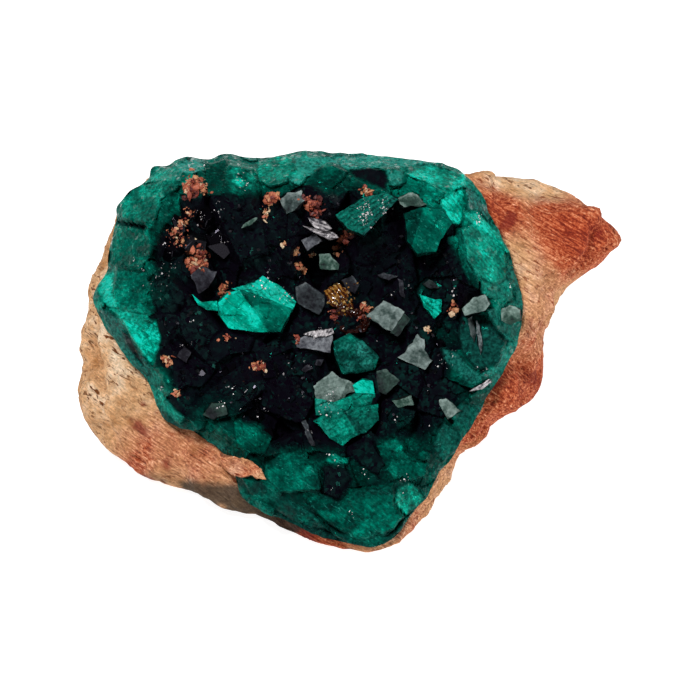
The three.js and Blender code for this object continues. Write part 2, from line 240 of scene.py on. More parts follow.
# settings that many nodes share
drawn = {"vector_type": "TEXTURE"}
colourMix = {"data_type": "RGBA"}
product = {"operation": "MULTIPLY"}
clampedProduct = {"operation": "MULTIPLY", "use_clamp": True}
timesPlus = {"operation": "MULTIPLY_ADD"}  # the first times the second, plus the third


# a node with its settings, inputs and colour stops: a node given as an input links by its first live output
def addNode(tree, kind, settings=None, inputs=None, stops=()):
    node = tree.nodes.new("ShaderNode" + kind)
    for word, value in (settings or {}).items():
        setattr(node, word, value)
    live = [socket for socket in node.inputs if socket.enabled]
    for word, value in (inputs or {}).items():
        socket = live[word] if isinstance(word, int) else next(one for one in live if one.name == word)
        if isinstance(value, bpy.types.Node):
            value = next(output for output in value.outputs if output.enabled)
        if isinstance(value, bpy.types.NodeSocket):
            tree.links.new(value, socket)
        else:
            socket.default_value = value
    if stops:
        ramp = node.color_ramp.elements
        while len(ramp) < len(stops):
            ramp.new(1)
        for element, (at, colour) in zip(ramp, stops):
            element.position, element.color = at, linear(colour)
    return node


# Broken limestone, stained by iron: a matt, gritty tan with short brown dashes of painted shadow, rusty
# patches, dark red stains, painted shade along the lower edge and pale fibres that run down to the right.
limestoneLook = {"grit": 0.22, "patch": 2.6, "fibre": (1.4, 0.17), "pitShadow": (0.9, 0.3), "fibreTurn": 32,
                 "roughness": 0.9, "specular": 0.3, "relief": 0.14}


def rustyLimestone():
    look = limestoneLook
    material, tree = newMaterial("rusty limestone")
    place = addNode(tree, "TexCoord").outputs["Object"]
    rust, stain, dark = [addNode(tree, "Attribute", {"attribute_name": word}).outputs["Fac"]
                         for word in ("rust", "stain", "dark")]
    fibrePlace, pitShadowPlace = [addNode(tree, "Mapping", drawn, drawnOut(place, look[word], look["fibreTurn"]))
                             for word in ("fibre", "pitShadow")]
    fibre = addNode(tree, "TexNoise", inputs={
        "Vector": fibrePlace, "Scale": 1.0, "Detail": 4.0, "Roughness": 0.65, "Distortion": 0.4})
    pitShadow = addNode(tree, "TexNoise", inputs={
        "Vector": pitShadowPlace, "Scale": 1.0, "Detail": 2.0, "Roughness": 0.5, "Distortion": 0.8})
    patch = addNode(tree, "TexNoise", inputs={
        "Vector": place, "Scale": perMetre(look["patch"]), "Detail": 6.0, "Roughness": 0.68})
    grit = addNode(tree, "TexNoise", inputs={
        "Vector": place, "Scale": perMetre(look["grit"]), "Detail": 3.0, "Roughness": 0.75})
    tan = addNode(tree, "ValToRGB", inputs={"Fac": patch},
                  stops=[(0.3, "#ac723e"), (0.5, "#daaa7c"), (0.7, "#f4dabb")])
    # short dark brown dashes: painted shadow of small pits, where the tan patch is strong
    pitShadowShare = addNode(tree, "Math", {**timesPlus, "use_clamp": True}, {0: patch, 1: 4.0, 2: -1.2})
    pitShadowed = addNode(tree, "MapRange", inputs={
        "Value": pitShadow, "From Min": 0.57, "From Max": 0.64, "To Max": pitShadowShare})
    tan = addNode(tree, "Mix", colourMix, {"Factor": pitShadowed, "A": tan, "B": linear("#6e3a14")})
    height = addNode(tree, "Math", timesPlus, {0: fibre, 1: 1.6, 2: grit})
    gritty = addNode(tree, "Math", timesPlus, {0: height, 1: 0.55, 2: -0.21})
    deeper = addNode(tree, "Math", timesPlus, {0: rust, 1: -0.16, 2: gritty})
    rusted = addNode(tree, "ValToRGB", inputs={"Fac": deeper},
                     stops=[(0.24, "#8a2408"), (0.36, "#b44e28"), (0.5, "#cc7e56"), (0.64, "#e6b496")])
    spread = addNode(tree, "Math", timesPlus, {0: patch, 1: 1.1, 2: rust})
    rustShare = addNode(tree, "MapRange", inputs={"Value": spread, "From Min": 0.62, "From Max": 1.25})
    rusty = addNode(tree, "Mix", colourMix, {"Factor": rustShare, "A": tan, "B": rusted})
    stained = addNode(tree, "Mix", colourMix, {"Factor": stain, "A": rusty, "B": linear("#7a1408")})
    # painted shade along the rock's lower edge, and darker stains on the tongue
    darkened = addNode(tree, "Mix", colourMix, {"Factor": dark, "A": stained, "B": linear("#3a3226")})
    # brightness follows the grain's relief: specks, and painted shade in its hollows with lighter crests
    specksAndShade = addNode(tree, "MapRange", inputs={
        "Value": height, "From Min": 0.85, "From Max": 1.75, "To Min": 0.42, "To Max": 1.32})
    colour = addNode(tree, "VectorMath", {"operation": "SCALE"}, {0: darkened, "Scale": specksAndShade})
    bump = addNode(tree, "Bump", inputs={"Height": height, "Strength": 0.8, "Distance": look["relief"] * mm})
    shader = addNode(tree, "BsdfPrincipled", inputs={
        "Base Color": colour, "Roughness": look["roughness"], "Normal": bump,
        "Specular IOR Level": look["specular"]})
    addNode(tree, "OutputMaterial", inputs={"Surface": shader})
    return material


# Massive dioptase, broken across: deep emerald, near black where it is thick and clear, and pale and sugary
# where it is worn or a highlight is painted. Most of the break is satin, a few small cleavage faces flash,
# thin pale streaks are painted glints, and glassy crystals are less mottled.
massiveLook = {"cloud": 1.3, "fine": 0.26, "cleavage": 0.32, "tilt": 0.45, "satin": 0.5, "flash": 0.1,
               "streak": (1.6, 0.2), "glint": (0.6, 0.15), "streakTurn": 38, "specular": 0.02,
               "sheen": "#0a9a84", "transmission": 0.25, "ior": 1.67, "absorption": "#008a6c",
               "density": 5000.0}


def massiveDioptase():
    look = massiveLook
    material, tree = newMaterial("massive dioptase")
    place = addNode(tree, "TexCoord").outputs["Object"]
    tone, worn, glassy = [addNode(tree, "Attribute", {"attribute_name": word}).outputs["Fac"]
                          for word in ("tone", "worn", "glassy")]
    turn = look["streakTurn"]
    streakPlace, glintPlace = [addNode(tree, "Mapping", drawn, drawnOut(place, look[word], turn))
                               for word in ("streak", "glint")]
    cloud = addNode(tree, "TexNoise", inputs={
        "Vector": place, "Scale": perMetre(look["cloud"]), "Detail": 5.0, "Roughness": 0.6})
    fine = addNode(tree, "TexNoise", inputs={
        "Vector": place, "Scale": perMetre(look["fine"]), "Detail": 3.0, "Roughness": 0.7})
    streak = addNode(tree, "TexNoise", inputs={
        "Vector": streakPlace, "Scale": 1.0, "Detail": 3.0, "Roughness": 0.6, "Distortion": 0.8})
    glint = addNode(tree, "TexNoise", inputs={
        "Vector": glintPlace, "Scale": 1.0, "Detail": 2.0, "Roughness": 0.6, "Distortion": 1.2})
    cell = addNode(tree, "TexVoronoi", inputs={
        "Vector": place, "Scale": perMetre(look["cleavage"])}).outputs["Color"]
    both = addNode(tree, "Math", timesPlus, {0: fine, 1: 1.6, 2: cloud})
    shade = addNode(tree, "MapRange", inputs={
        "Value": both, "From Min": 0.9, "From Max": 1.7, "To Min": 0.55, "To Max": 1.45})
    streaked = addNode(tree, "MapRange", inputs={
        "Value": streak, "From Min": 0.3, "From Max": 0.75, "To Min": 0.72, "To Max": 1.36})
    celled = addNode(tree, "MapRange", inputs={"Value": cell, "To Min": 0.9, "To Max": 1.1})
    mottled = addNode(tree, "Math", product, {0: shade, 1: streaked})
    spangled = addNode(tree, "Math", product, {0: mottled, 1: celled})
    calm = addNode(tree, "Mix", {"data_type": "FLOAT"}, {"Factor": glassy, "A": spangled, "B": 1.0})
    toned = addNode(tree, "Math", product, {0: calm, 1: tone})
    green = addNode(tree, "ValToRGB", inputs={"Fac": toned}, stops=[
        (0.0, "#0c0510"), (0.08, "#060910"), (0.25, "#002e27"), (0.5, "#005e4e"), (0.75, "#009078"),
        (0.9, "#00b296"), (1.0, "#10d2ba")])
    sugar = addNode(tree, "MapRange", inputs={
        "Value": fine, "From Min": 0.42, "From Max": 0.62, "To Min": 0.25, "To Max": 1.6})
    # paler where worn, and where a highlight or glint is painted
    wornShare = addNode(tree, "Math", clampedProduct, {0: worn, 1: sugar})
    paleAndGlint = addNode(tree, "Mix", colourMix, {"Factor": wornShare, "A": green, "B": linear("#309a8c")})
    # painted glints: thin pale streaks, only where the tone is bright
    glinted = addNode(tree, "MapRange", inputs={
        "Value": glint, "From Min": 0.62, "From Max": 0.74, "To Max": 0.8})
    glintShare = addNode(tree, "Math", product, {0: glinted, 1: tone})
    colour = addNode(tree, "Mix", colourMix, {"Factor": glintShare, "A": paleAndGlint, "B": linear("#4ce2ce")})
    centred = addNode(tree, "VectorMath", {"operation": "SUBTRACT"}, {0: cell, 1: (0.5, 0.5, 0.5)})
    tilted = addNode(tree, "VectorMath", {"operation": "SCALE"}, {0: centred, "Scale": look["tilt"]})
    normal = addNode(tree, "NewGeometry").outputs["Normal"]
    turned = addNode(tree, "VectorMath", {"operation": "ADD"}, {0: normal, 1: tilted})
    facet = addNode(tree, "VectorMath", {"operation": "NORMALIZE"}, {0: turned})
    rough = addNode(tree, "MapRange", inputs={
        "Value": cell, "From Min": 0.72, "From Max": 0.78, "To Min": look["satin"], "To Max": look["flash"]})
    shader = addNode(tree, "BsdfPrincipled", inputs={
        "Base Color": colour, "Roughness": rough, "Normal": facet, "IOR": look["ior"],
        "Specular IOR Level": look["specular"], "Specular Tint": linear(look["sheen"]),
        "Transmission Weight": look["transmission"]})
    depth = addNode(tree, "VolumeAbsorption", inputs={
        "Color": linear(look["absorption"]), "Density": look["density"]})
    addNode(tree, "OutputMaterial", inputs={"Surface": shader, "Volume": depth})
    return material


# Clear dioptase crystals: glassy deep green that goes black in depth, with finely frosted tip faces whose
# slate grey or grey-green is partly a painted reflection of the lamps.
clearLook = {"frostGrain": 0.35, "relief": 0.03, "polished": 0.06, "frosted": 0.65, "specular": 0.35,
             "sheen": "#7e7a88", "transmission": 0.6, "ior": 1.67, "absorption": "#10505e",
             "density": 6000.0}


def clearDioptase():
    look = clearLook
    material, tree = newMaterial("clear dioptase")
    place = addNode(tree, "TexCoord").outputs["Object"]
    frost, green = [addNode(tree, "Attribute", {"attribute_name": word}).outputs["Fac"]
                    for word in ("frost", "green")]
    fine = addNode(tree, "TexNoise", inputs={
        "Vector": place, "Scale": perMetre(look["frostGrain"]), "Detail": 5.0, "Roughness": 0.75})
    mottle = addNode(tree, "MapRange", inputs={
        "Value": fine, "From Min": 0.3, "From Max": 0.7, "To Min": 0.6, "To Max": 1.3})
    # frosted tips: their grey is partly a painted reflection of the lamps
    share = addNode(tree, "Math", clampedProduct, {0: frost, 1: mottle})
    slate = addNode(tree, "ValToRGB", inputs={"Fac": share},
                    stops=[(0.0, "#06040a"), (0.3, "#1c1b22"), (0.5, "#4d5058"), (1.0, "#c8ced4")])
    greyGreen = addNode(tree, "ValToRGB", inputs={"Fac": share},
                        stops=[(0.0, "#060509"), (0.3, "#16261f"), (0.5, "#37604f"), (1.0, "#bcdccf")])
    colour = addNode(tree, "Mix", colourMix, {"Factor": green, "A": slate, "B": greyGreen})
    rough = addNode(tree, "MapRange", inputs={
        "Value": share, "From Max": 0.2, "To Min": look["polished"], "To Max": look["frosted"]})
    relief = addNode(tree, "Math", product, {0: fine, 1: frost})
    bump = addNode(tree, "Bump", inputs={"Height": relief, "Strength": 0.3, "Distance": look["relief"] * mm})
    shader = addNode(tree, "BsdfPrincipled", inputs={
        "Base Color": colour, "Roughness": rough, "Normal": bump, "IOR": look["ior"],
        "Specular IOR Level": look["specular"], "Specular Tint": linear(look["sheen"]),
        "Transmission Weight": look["transmission"]})
    depth = addNode(tree, "VolumeAbsorption", inputs={
        "Color": linear(look["absorption"]), "Density": look["density"]})
    addNode(tree, "OutputMaterial", inputs={"Surface": shader, "Volume": depth})
    return material


# Grains of iron ochre and calcite: gritty matt crumbs, from dark red through orange to cream.
ochreLook = {"grit": 0.2, "relief": 0.05, "roughness": 0.6}


def ochreGrains():
    look = ochreLook
    material, tree = newMaterial("ochre grains")
    place = addNode(tree, "TexCoord").outputs["Object"]
    hue = addNode(tree, "Attribute", {"attribute_name": "hue"}).outputs["Fac"]
    grit = addNode(tree, "TexNoise", inputs={
        "Vector": place, "Scale": perMetre(look["grit"]), "Detail": 3.0})
    mixed = addNode(tree, "Math", timesPlus, {0: grit, 1: 0.3, 2: hue})
    colour = addNode(tree, "ValToRGB", inputs={"Fac": mixed}, stops=[
        (0.12, "#3c0c0e"), (0.35, "#7e3022"), (0.6, "#ac5c3e"), (0.85, "#b48058"), (1.0, "#cbb292")])
    bump = addNode(tree, "Bump", inputs={"Height": grit, "Strength": 0.5, "Distance": look["relief"] * mm})
    shader = addNode(tree, "BsdfPrincipled", inputs={
        "Base Color": colour, "Roughness": look["roughness"], "Normal": bump})
    addNode(tree, "OutputMaterial", inputs={"Surface": shader})
    return material


# Amber calcite druse: clear honey-brown points that glitter gold.
amberLook = {"roughness": 0.12, "ior": 1.6, "transmission": 0.5, "absorption": "#c06a1c", "density": 900.0}


def amberCalcite():
    look = amberLook
    material, tree = newMaterial("amber calcite")
    hue = addNode(tree, "Attribute", {"attribute_name": "hue"}).outputs["Fac"]
    colour = addNode(tree, "ValToRGB", inputs={"Fac": hue},
                     stops=[(0.0, "#2c0c08"), (0.35, "#6a3014"), (0.6, "#b07428"), (1.0, "#f0cf86")])
    shader = addNode(tree, "BsdfPrincipled", inputs={
        "Base Color": colour, "Roughness": look["roughness"], "IOR": look["ior"],
        "Transmission Weight": look["transmission"]})
    depth = addNode(tree, "VolumeAbsorption", inputs={
        "Color": linear(look["absorption"]), "Density": look["density"]})
    addNode(tree, "OutputMaterial", inputs={"Surface": shader, "Volume": depth})
    return material


# Pale calcite cleavage chips: pearly grey-white, ruled with dark growth lines. It also colours the tiny
# white flakes that are painted glints.
paleLook = {"grit": 0.3, "roughness": 0.28}


def paleCalcite():
    look = paleLook
    material, tree = newMaterial("pale calcite")
    place = addNode(tree, "TexCoord").outputs["Object"]
    line = addNode(tree, "Attribute", {"attribute_name": "line"}).outputs["Fac"]
    grit = addNode(tree, "TexNoise", inputs={
        "Vector": place, "Scale": perMetre(look["grit"]), "Detail": 2.0})
    mixed = addNode(tree, "Math", timesPlus, {0: grit, 1: 0.35, 2: line})
    colour = addNode(tree, "ValToRGB", inputs={"Fac": mixed},
                     stops=[(0.25, "#2c2a30"), (0.55, "#b9b3b5"), (0.95, "#efeaea")])
    shader = addNode(tree, "BsdfPrincipled", inputs={"Base Color": colour, "Roughness": look["roughness"]})
    addNode(tree, "OutputMaterial", inputs={"Surface": shader})
    return material


# The crust's bed

crust = {
    "reach": [
        (0, 16.0), (8, 16.5), (20, 16.5), (34, 17.0), (42, 17.4), (50, 17.7), (59, 16.9), (70, 15.8),
        (84, 15.2), (100, 15.3), (107, 15.5), (112, 16.0), (117, 16.8), (122, 17.3), (128, 18.5),
        (131, 18.7), (134, 19.4), (137, 19.1), (139, 19.1), (142, 19.5), (146, 19.6), (149, 19.1),
        (156, 18.5), (161, 18.1), (169, 18.5), (174, 17.8), (182, 16.1), (194, 14.2), (207, 14.0),
        (216, 12.6), (226, 11.9), (234, 12.0), (239, 13.0), (243, 14.0), (251, 14.4), (262, 14.9),
        (274, 16.0), (284, 17.0), (289, 17.1), (296, 16.1), (304, 15.2), (312, 14.3), (324, 14.0),
        (340, 14.1), (352, 15.0)],
    "edgeDrop": [(0, 1.0), (50, 1.8), (90, 2.6), (140, 2.6), (180, 1.5), (225, 0.9), (285, 0.5), (330, 0.8)],
    "fall": 0.155, "foot": -16,                # the face falls away up its lean from here
    "depth": 5.2, "floor": 0.25, "brim": 0.8,  # the hollow: floor and brim as shares of the reach
    "rimAt": 0.86, "rimRise": 0.9, "rimWidth": 0.1,
    "edgeWall": 0.8, "thickness": 2.8,
    "lump": 0.3, "lumpLength": 4,
    "bearings": 700, "rings": 130, "ringPower": 0.6,  # rings lie closer towards the rim
    "wallRings": (0.35, 0.7, 1.0), "underRings": (0.8, 0.55, 0.3), "wallTone": 0.8,
}
bedLook = {
    "blockSoftness": 14.0,                # how sharply the rim's blocks meet, per mm
    "blockSize": 2.7, "blockTilt": 0.3,   # big broken flats
    "chipSize": 0.95, "chipTilt": 0.2,    # small ones on them
    "bend": 0.5, "bendSize": 3, "chipBend": 0.3, "footShadeBend": 0.6,  # waver of their outlines
    "blockFall": 0.7,                     # share of the edge's fall that the blocks follow
    "roughRise": 0.05, "roughSize": 0.8, "ragged": 0.16, "raggedSize": 1.6,
    "blockTone": 0.12, "blockJut": 0.04, "chipTone": 0.12, "mottle": 0.28, "mottleSize": 0.7,
    "facetEdge": (-0.03, 0.1), "facetFade": (-0.1, 0.2), "facetWobble": 0.2, "wobbleSize": 1.1,
    "facetGlow": 0.08, "chipsCovered": 0.7,  # brighter outwards, and small flats that a break wipes out
    "groove": 0.14, "grooveWidth": 0.11, "grooveLeast": 0.4, "grooveVary": 1.3, "grooveSize": 1.8,
    # painted glints along the edges of the flat breaks; pale wear and painted highlight along the outer edge
    "edgeGlint": 0.25, "glintLeast": 0.25, "glintSize": 1.0, "glintAt": 0.12, "highlightWidth": 0.08,
    "glintTone": (0.1, 0.5),
    "wornFrom": 0.92, "wornLeast": 0.8, "wornMottle": 0.6, "wornSize": 1.2,
    # painted shade in dark patches at the foot of the crust
    "footShade": 0.35, "footShadeSize": 1.3, "footShadeEdge": (0.3, 0.55), "footShadeBearing": (0.5, 0.9),
    "footShadeRagged": 0.3, "footShadeRaggedSize": 0.5,
    # faint green where the hollow is thin, by photograph pixel: x, y, radius in mm, tone
    "haze": [(166, 272, 1.1, 0.16), (159, 298, 0.9, 0.14), (205, 412, 1.6, 0.14), (232, 426, 1.8, 0.16),
             (424, 288, 1.0, 0.14), (448, 336, 1.2, 0.2), (405, 426, 1.4, 0.14), (372, 226, 0.9, 0.16)],
    "crack": [(113, 221), (144, 227)], "crackDepth": 0.8, "crackWidth": 0.13, "crackDark": 0.95,
    # where the green rim begins as a share of the reach, how bright it is, and how pale its outer edge is
    # by wear and painted highlight
    "greenFrom": [(0, 0.72), (10, 0.79), (35, 0.79), (62, 0.77), (75, 0.8), (85, 0.77), (95, 0.8),
                  (119, 0.77), (136, 0.81), (155, 0.79), (167, 0.76), (180, 0.79), (196, 0.88), (207, 0.88),
                  (220, 0.84), (232, 0.74), (245, 0.62), (260, 0.57), (285, 0.54), (303, 0.6), (318, 0.76),
                  (333, 0.8), (345, 0.76)],
    "greenEdge": (-0.03, 0.06),
    "tone": [(0, 0.26), (20, 0.5), (40, 0.58), (62, 0.42), (80, 0.36), (95, 0.44), (112, 0.44), (128, 0.4),
             (142, 0.42), (158, 0.4), (172, 0.5), (182, 0.45), (195, 0.34), (215, 0.3), (240, 0.25),
             (270, 0.24), (295, 0.28), (315, 0.24), (340, 0.22)],
    "worn": [(0, 0.3), (45, 0.15), (62, 0.5), (95, 0.5), (130, 0.25), (165, 0.25), (200, 0.35), (240, 0.15),
             (300, 0.1)],
}
# flat breaks of the rim: tone, paleness (wear, and on the top edge a painted highlight), turn right,
# turn up, outline in photograph pixels
rimFacets = [
    (0.64, 0.25, -4, 14, [(142, 184), (149, 172), (156, 165), (180, 164), (180, 180), (163, 180)]),
    (0.52, 0.05, -8, 4, [(119, 200), (128, 190), (142, 185), (163, 181), (180, 181), (166, 196), (158, 210),
                         (152, 222), (140, 220), (121, 218)]),
    (0.3, 0.0, 22, -10, [(166, 196), (181, 182), (178, 200), (170, 216), (160, 232), (152, 238), (146, 230),
                         (152, 222), (158, 210)]),
    (0.42, 0.0, -4, -4, [(115, 224), (137, 228), (149, 238), (154, 249), (148, 261), (128, 268), (108, 265),
                         (111, 238)]),
    (0.5, 0.0, 6, 4, [(113, 270), (128, 271), (144, 268), (150, 287), (147, 302), (140, 309), (117, 307),
                      (111, 290)]),
    (0.78, 0.2, -16, 4, [(99, 276), (106, 270), (113, 270), (111, 290), (117, 307), (105, 306), (98, 293)]),
    (0.66, 0.1, -4, 16, [(105, 307), (117, 308), (136, 313), (156, 319), (142, 322), (124, 321)]),
    (0.9, 0.0, 10, -6, [(124, 321), (142, 322), (156, 319), (160, 336), (157, 350), (151, 366), (142, 353),
                        (128, 333)]),
    (0.2, 0.3, 16, 4, [(98, 308), (106, 308), (122, 322), (128, 334), (142, 354), (150, 367), (150, 376),
                        (136, 372), (122, 352), (108, 330)]),
    (0.04, 0.0, 4, -10, [(121, 330), (128, 334), (138, 350), (142, 358), (140, 364), (130, 352),
                         (123, 340)]),
    (0.5, 0.15, -4, 4, [(148, 378), (152, 368), (163, 375), (160, 390), (172, 406), (185, 417), (178, 424),
                        (163, 410), (152, 396)]),
    (0.5, 0.8, 0, 14, [(170, 163), (186, 158), (204, 160), (204, 172), (188, 172), (180, 170)]),
    (0.28, 0.0, 8, -8, [(205, 163), (226, 157), (228, 167), (226, 180), (222, 196), (206, 197)]),
    (0.36, 0.0, -6, 4, [(226, 168), (236, 163), (250, 168), (257, 178), (254, 190), (242, 197), (230, 193)]),
    (0.74, 0.1, -14, 20, [(229, 173), (238, 165), (244, 171), (236, 178)]),
    (0.62, 0.1, 12, 10, [(245, 172), (251, 169), (255, 177), (248, 181)]),
    (0.96, 0.1, -6, 2, [(231, 181), (238, 177), (247, 181), (240, 188)]),
    (0.7, 0.0, 16, -6, [(247, 183), (254, 182), (251, 190), (244, 190)]),
    (0.56, 0.0, -20, -8, [(228, 182), (232, 184), (239, 191), (233, 193)]),
    (0.48, 0.2, 4, 16, [(227, 156), (252, 160), (256, 168), (249, 168), (230, 166)]),
    (0.6, 0.1, -6, 10, [(255, 160), (275, 156), (292, 155), (294, 170), (288, 182), (268, 186), (258, 180)]),
    (0.62, 0.6, 6, 12, [(294, 155), (318, 152), (336, 158), (320, 163), (307, 178), (300, 186), (290, 182),
                        (296, 170)]),
    (0.28, 0.0, -10, -6, [(303, 183), (318, 164), (337, 165), (349, 171), (334, 189), (314, 187)]),
    (0.22, 0.0, 10, -12, [(334, 190), (350, 171), (354, 190), (337, 197)]),
    (0.5, 0.7, 0, 18, [(320, 161), (340, 155), (380, 153), (420, 160), (440, 164), (410, 166), (380, 168),
                       (350, 170), (337, 164)]),
    (0.02, 0.0, 4, -10, [(349, 169), (362, 166), (380, 169), (388, 173), (389, 181), (385, 190), (376, 186),
                         (364, 180), (356, 177)]),
    (0.4, 0.4, 0, 8, [(388, 169), (404, 169), (402, 182), (390, 186)]),
    (0.74, 0.1, 4, 14, [(404, 172), (416, 167), (438, 165), (465, 171), (466, 187), (450, 190), (432, 183),
                        (412, 178)]),
    (0.48, 0.0, -8, -4, [(390, 187), (402, 182), (412, 178), (432, 184), (448, 191), (440, 204), (424, 196),
                         (408, 190)]),
    (0.78, 0.0, 10, 2, [(449, 191), (466, 188), (462, 210), (462, 226), (448, 223), (440, 205)]),
    (0.26, 0.4, 16, 10, [(466, 186), (474, 189), (491, 206), (493, 226), (482, 213), (467, 210)]),
    (0.84, 0.1, 4, 18, [(463, 211), (474, 210), (481, 213), (491, 225), (494, 238), (481, 232), (466, 217)]),
    (0.6, 0.05, 10, 4, [(462, 230), (474, 224), (494, 237), (505, 247), (508, 260), (506, 278), (494, 284),
                        (478, 276), (468, 262), (464, 246)]),
    (0.34, 0.0, -20, -4, [(456, 228), (463, 230), (465, 247), (469, 263), (478, 277), (480, 291), (470, 284),
                          (461, 266), (457, 248)]),
    (0.52, 0.15, 12, -4, [(480, 278), (494, 285), (506, 279), (512, 286), (516, 300), (506, 304), (494, 300),
                          (481, 294)]),
    (0.36, 0.2, 14, 0, [(487, 312), (500, 304), (521, 304), (524, 320), (522, 344), (508, 340), (496, 330)]),
    (0.12, 0.12, -4, -6, [(462, 316), (486, 316), (496, 332), (507, 342), (500, 362), (478, 372),
                          (460, 350)]),
    (0.44, 0.3, 16, -10, [(508, 342), (522, 345), (515, 358), (500, 370), (488, 380), (480, 376),
                          (498, 362)]),
    (0.24, 0.3, 4, -4, [(440, 346), (452, 350), (462, 356), (470, 366), (486, 380), (474, 386), (458, 374),
                        (446, 362)]),
    (0.28, 0.0, 14, -8, [(470, 398), (478, 388), (488, 386), (491, 394), (486, 404), (476, 408)]),
    (0.24, 0.12, 8, 6, [(455, 408), (466, 404), (484, 408), (474, 424), (460, 430), (452, 420)]),
    (0.26, 0.12, 14, -4, [(446, 424), (458, 431), (461, 440), (455, 456), (441, 461), (434, 446),
                          (438, 432)]),
    (0.68, 0.0, 8, 8, [(396, 488), (412, 483), (420, 490), (424, 496), (416, 506), (404, 514), (396, 506)]),
    (0.46, 0.0, 4, 10, [(383, 470), (392, 458), (428, 462), (430, 476), (412, 482), (396, 474)]),
    (0.6, 0.0, 0, 14, [(382, 440), (396, 438), (402, 446), (396, 452), (386, 448)]),
    (0.03, 0.0, -8, -4, [(350, 442), (374, 442), (384, 462), (378, 474), (362, 468), (350, 452)]),
    (0.02, 0.0, 8, -6, [(322, 466), (346, 468), (352, 478), (338, 500), (324, 494)]),
    (0.7, 0.0, 0, 16, [(326, 460), (334, 454), (348, 456), (346, 464), (330, 466)]),
    (0.4, 0.0, -2, -2, [(300, 490), (322, 494), (338, 502), (352, 490), (394, 486), (396, 508), (404, 516),
                        (390, 530), (366, 540), (340, 532), (318, 516)]),
    (0.34, 0.05, 0, -12, [(318, 517), (340, 533), (366, 541), (390, 531), (404, 517), (410, 512), (400, 532),
                          (376, 548), (356, 548), (334, 536)]),
    (0.3, 0.05, -6, -10, [(240, 476), (262, 482), (280, 494), (316, 516), (330, 530), (300, 524), (270, 508),
                          (250, 494)]),
    (0.36, 0.0, -4, 6, [(266, 458), (292, 450), (316, 462), (322, 490), (300, 490), (280, 492), (268, 480)]),
    (0.56, 0.0, 4, 10, [(302, 466), (312, 464), (316, 474), (306, 478)]),
]


def edgeFall(bearing, share):
    over = np.maximum(0, (share - crust["rimAt"]) / (1 - crust["rimAt"]))
    return over**2 * around(crust["edgeDrop"], bearing)


# the bed: a sloping plane, less a smooth hollow, plus a bell-shaped rim, less a square-law fall to the edge
def bedOut(bearing, share):
    flat = facePoints(bearing, share * around(crust["reach"], bearing), 0.0)
    hollow = crust["depth"] * (1 - smooth(share, crust["floor"], crust["brim"]))
    rim = crust["rimRise"] * np.exp(-((share - crust["rimAt"]) / crust["rimWidth"])**2)
    lump = crust["lump"] * lumps(flat, crust["lumpLength"])
    return crust["fall"] * (crust["foot"] - flat[..., 1]) - hollow + rim - edgeFall(bearing, share) + lump


# the underside: the same plane, less the edge's wall and a plain bowl
def seatOut(bearing, share):
    up = face["heart"][1] + share * around(crust["reach"], bearing) * sine(bearing)
    edge = around(crust["edgeDrop"], bearing) + crust["edgeWall"]
    bowl = (crust["depth"] + crust["thickness"] - edge) * (1 - smooth(share, crust["floor"], 1))
    return crust["fall"] * (crust["foot"] - up) - edge - bowl


def onBed(across, up):
    away = np.stack([across - face["heart"][0], up - face["heart"][1]], -1)
    bearing = np.degrees(np.arctan2(away[..., 1], away[..., 0]))
    return bearing, np.linalg.norm(away, axis=-1) / around(crust["reach"], bearing)


# Crystals: six-sided prisms with three rhombs at the tip

crystal = {
    "tipSlope": 51, "length": 1.0,     # degrees, and the prism's length in radii
    "corners": 13, "sharpAngle": 5,    # an apex, six shoulders and six feet
    "edgeGlint": 0.05, "wornFrom": 15,  # bevel of the large crystals, on edges that turn more than this
}

# across, up, radius, turn right, turn up, apex bearing, stand of the face that shows
hollowCrystals = [
    (2.9, 2.7, 1.85, 4, 17, 98, 1.5), (-3.2, 8.8, 1.05, 8, 14, 22, 1.1),
    (0.5, -0.4, 1.9, 16, 30, 70, 1.1), (5.2, -0.2, 1.6, 10, 18, 205, 1.0),
    (8.0, -4.6, 1.1, 4, 18, 150, 0.8), (10.1, 3.8, 1.25, -4, 26, 20, 0.8),
    (12.9, 2.8, 0.95, 6, 18, 60, 0.5), (4.8, 12.0, 1.4, 4, 34, 170, 1.0),
    (6.6, 4.0, 1.15, 24, -8, 300, 1.0), (-11.6, 5.6, 1.2, 14, 22, 60, 0.8),
    (-3.2, 4.2, 1.25, -22, 10, 240, 0.9), (3.2, -3.0, 1.35, 20, 12, 30, 0.8),
    (4.8, -4.2, 1.1, -14, 30, 130, 0.8), (8.2, -6.3, 1.25, 22, 6, 75, 0.9),
    (7.6, -8.1, 1.35, 18, 10, 20, 0.8), (10.7, -3.2, 1.3, 26, 10, 100, 0.8),
    (11.6, 0.6, 1.7, 18, -6, 330, 1.0), (4.1, -9.0, 1.6, 8, -6, 260, 0.9),
    (1.3, -8.3, 1.7, -10, 20, 120, 0.9), (-1.4, -10.4, 1.5, -4, 22, 70, 0.5),
    (-10.6, 9.6, 1.5, 12, -10, 300, 0.9), (-7.4, 8.2, 1.8, -12, 12, 160, 0.9),
    (-13.0, 1.2, 1.6, 24, 6, 45, 0.9), (-10.2, -1.2, 1.7, -10, 26, 120, 0.9),
    (-6.4, -4.2, 1.8, 10, 12, 200, 0.9), (-10.6, -4.4, 1.5, 14, 18, 80, 0.8),
    (-5.4, -7.6, 1.5, -8, 8, 50, 0.7), (2.2, 6.4, 1.7, -14, 6, 280, 0.9),
    (7.8, 7.0, 1.4, -24, 10, 190, 0.9), (8.6, 0.4, 1.4, 6, 34, 130, 1.0),
    (-7.0, 12.2, 1.3, 10, 2, 220, 0.8),
]
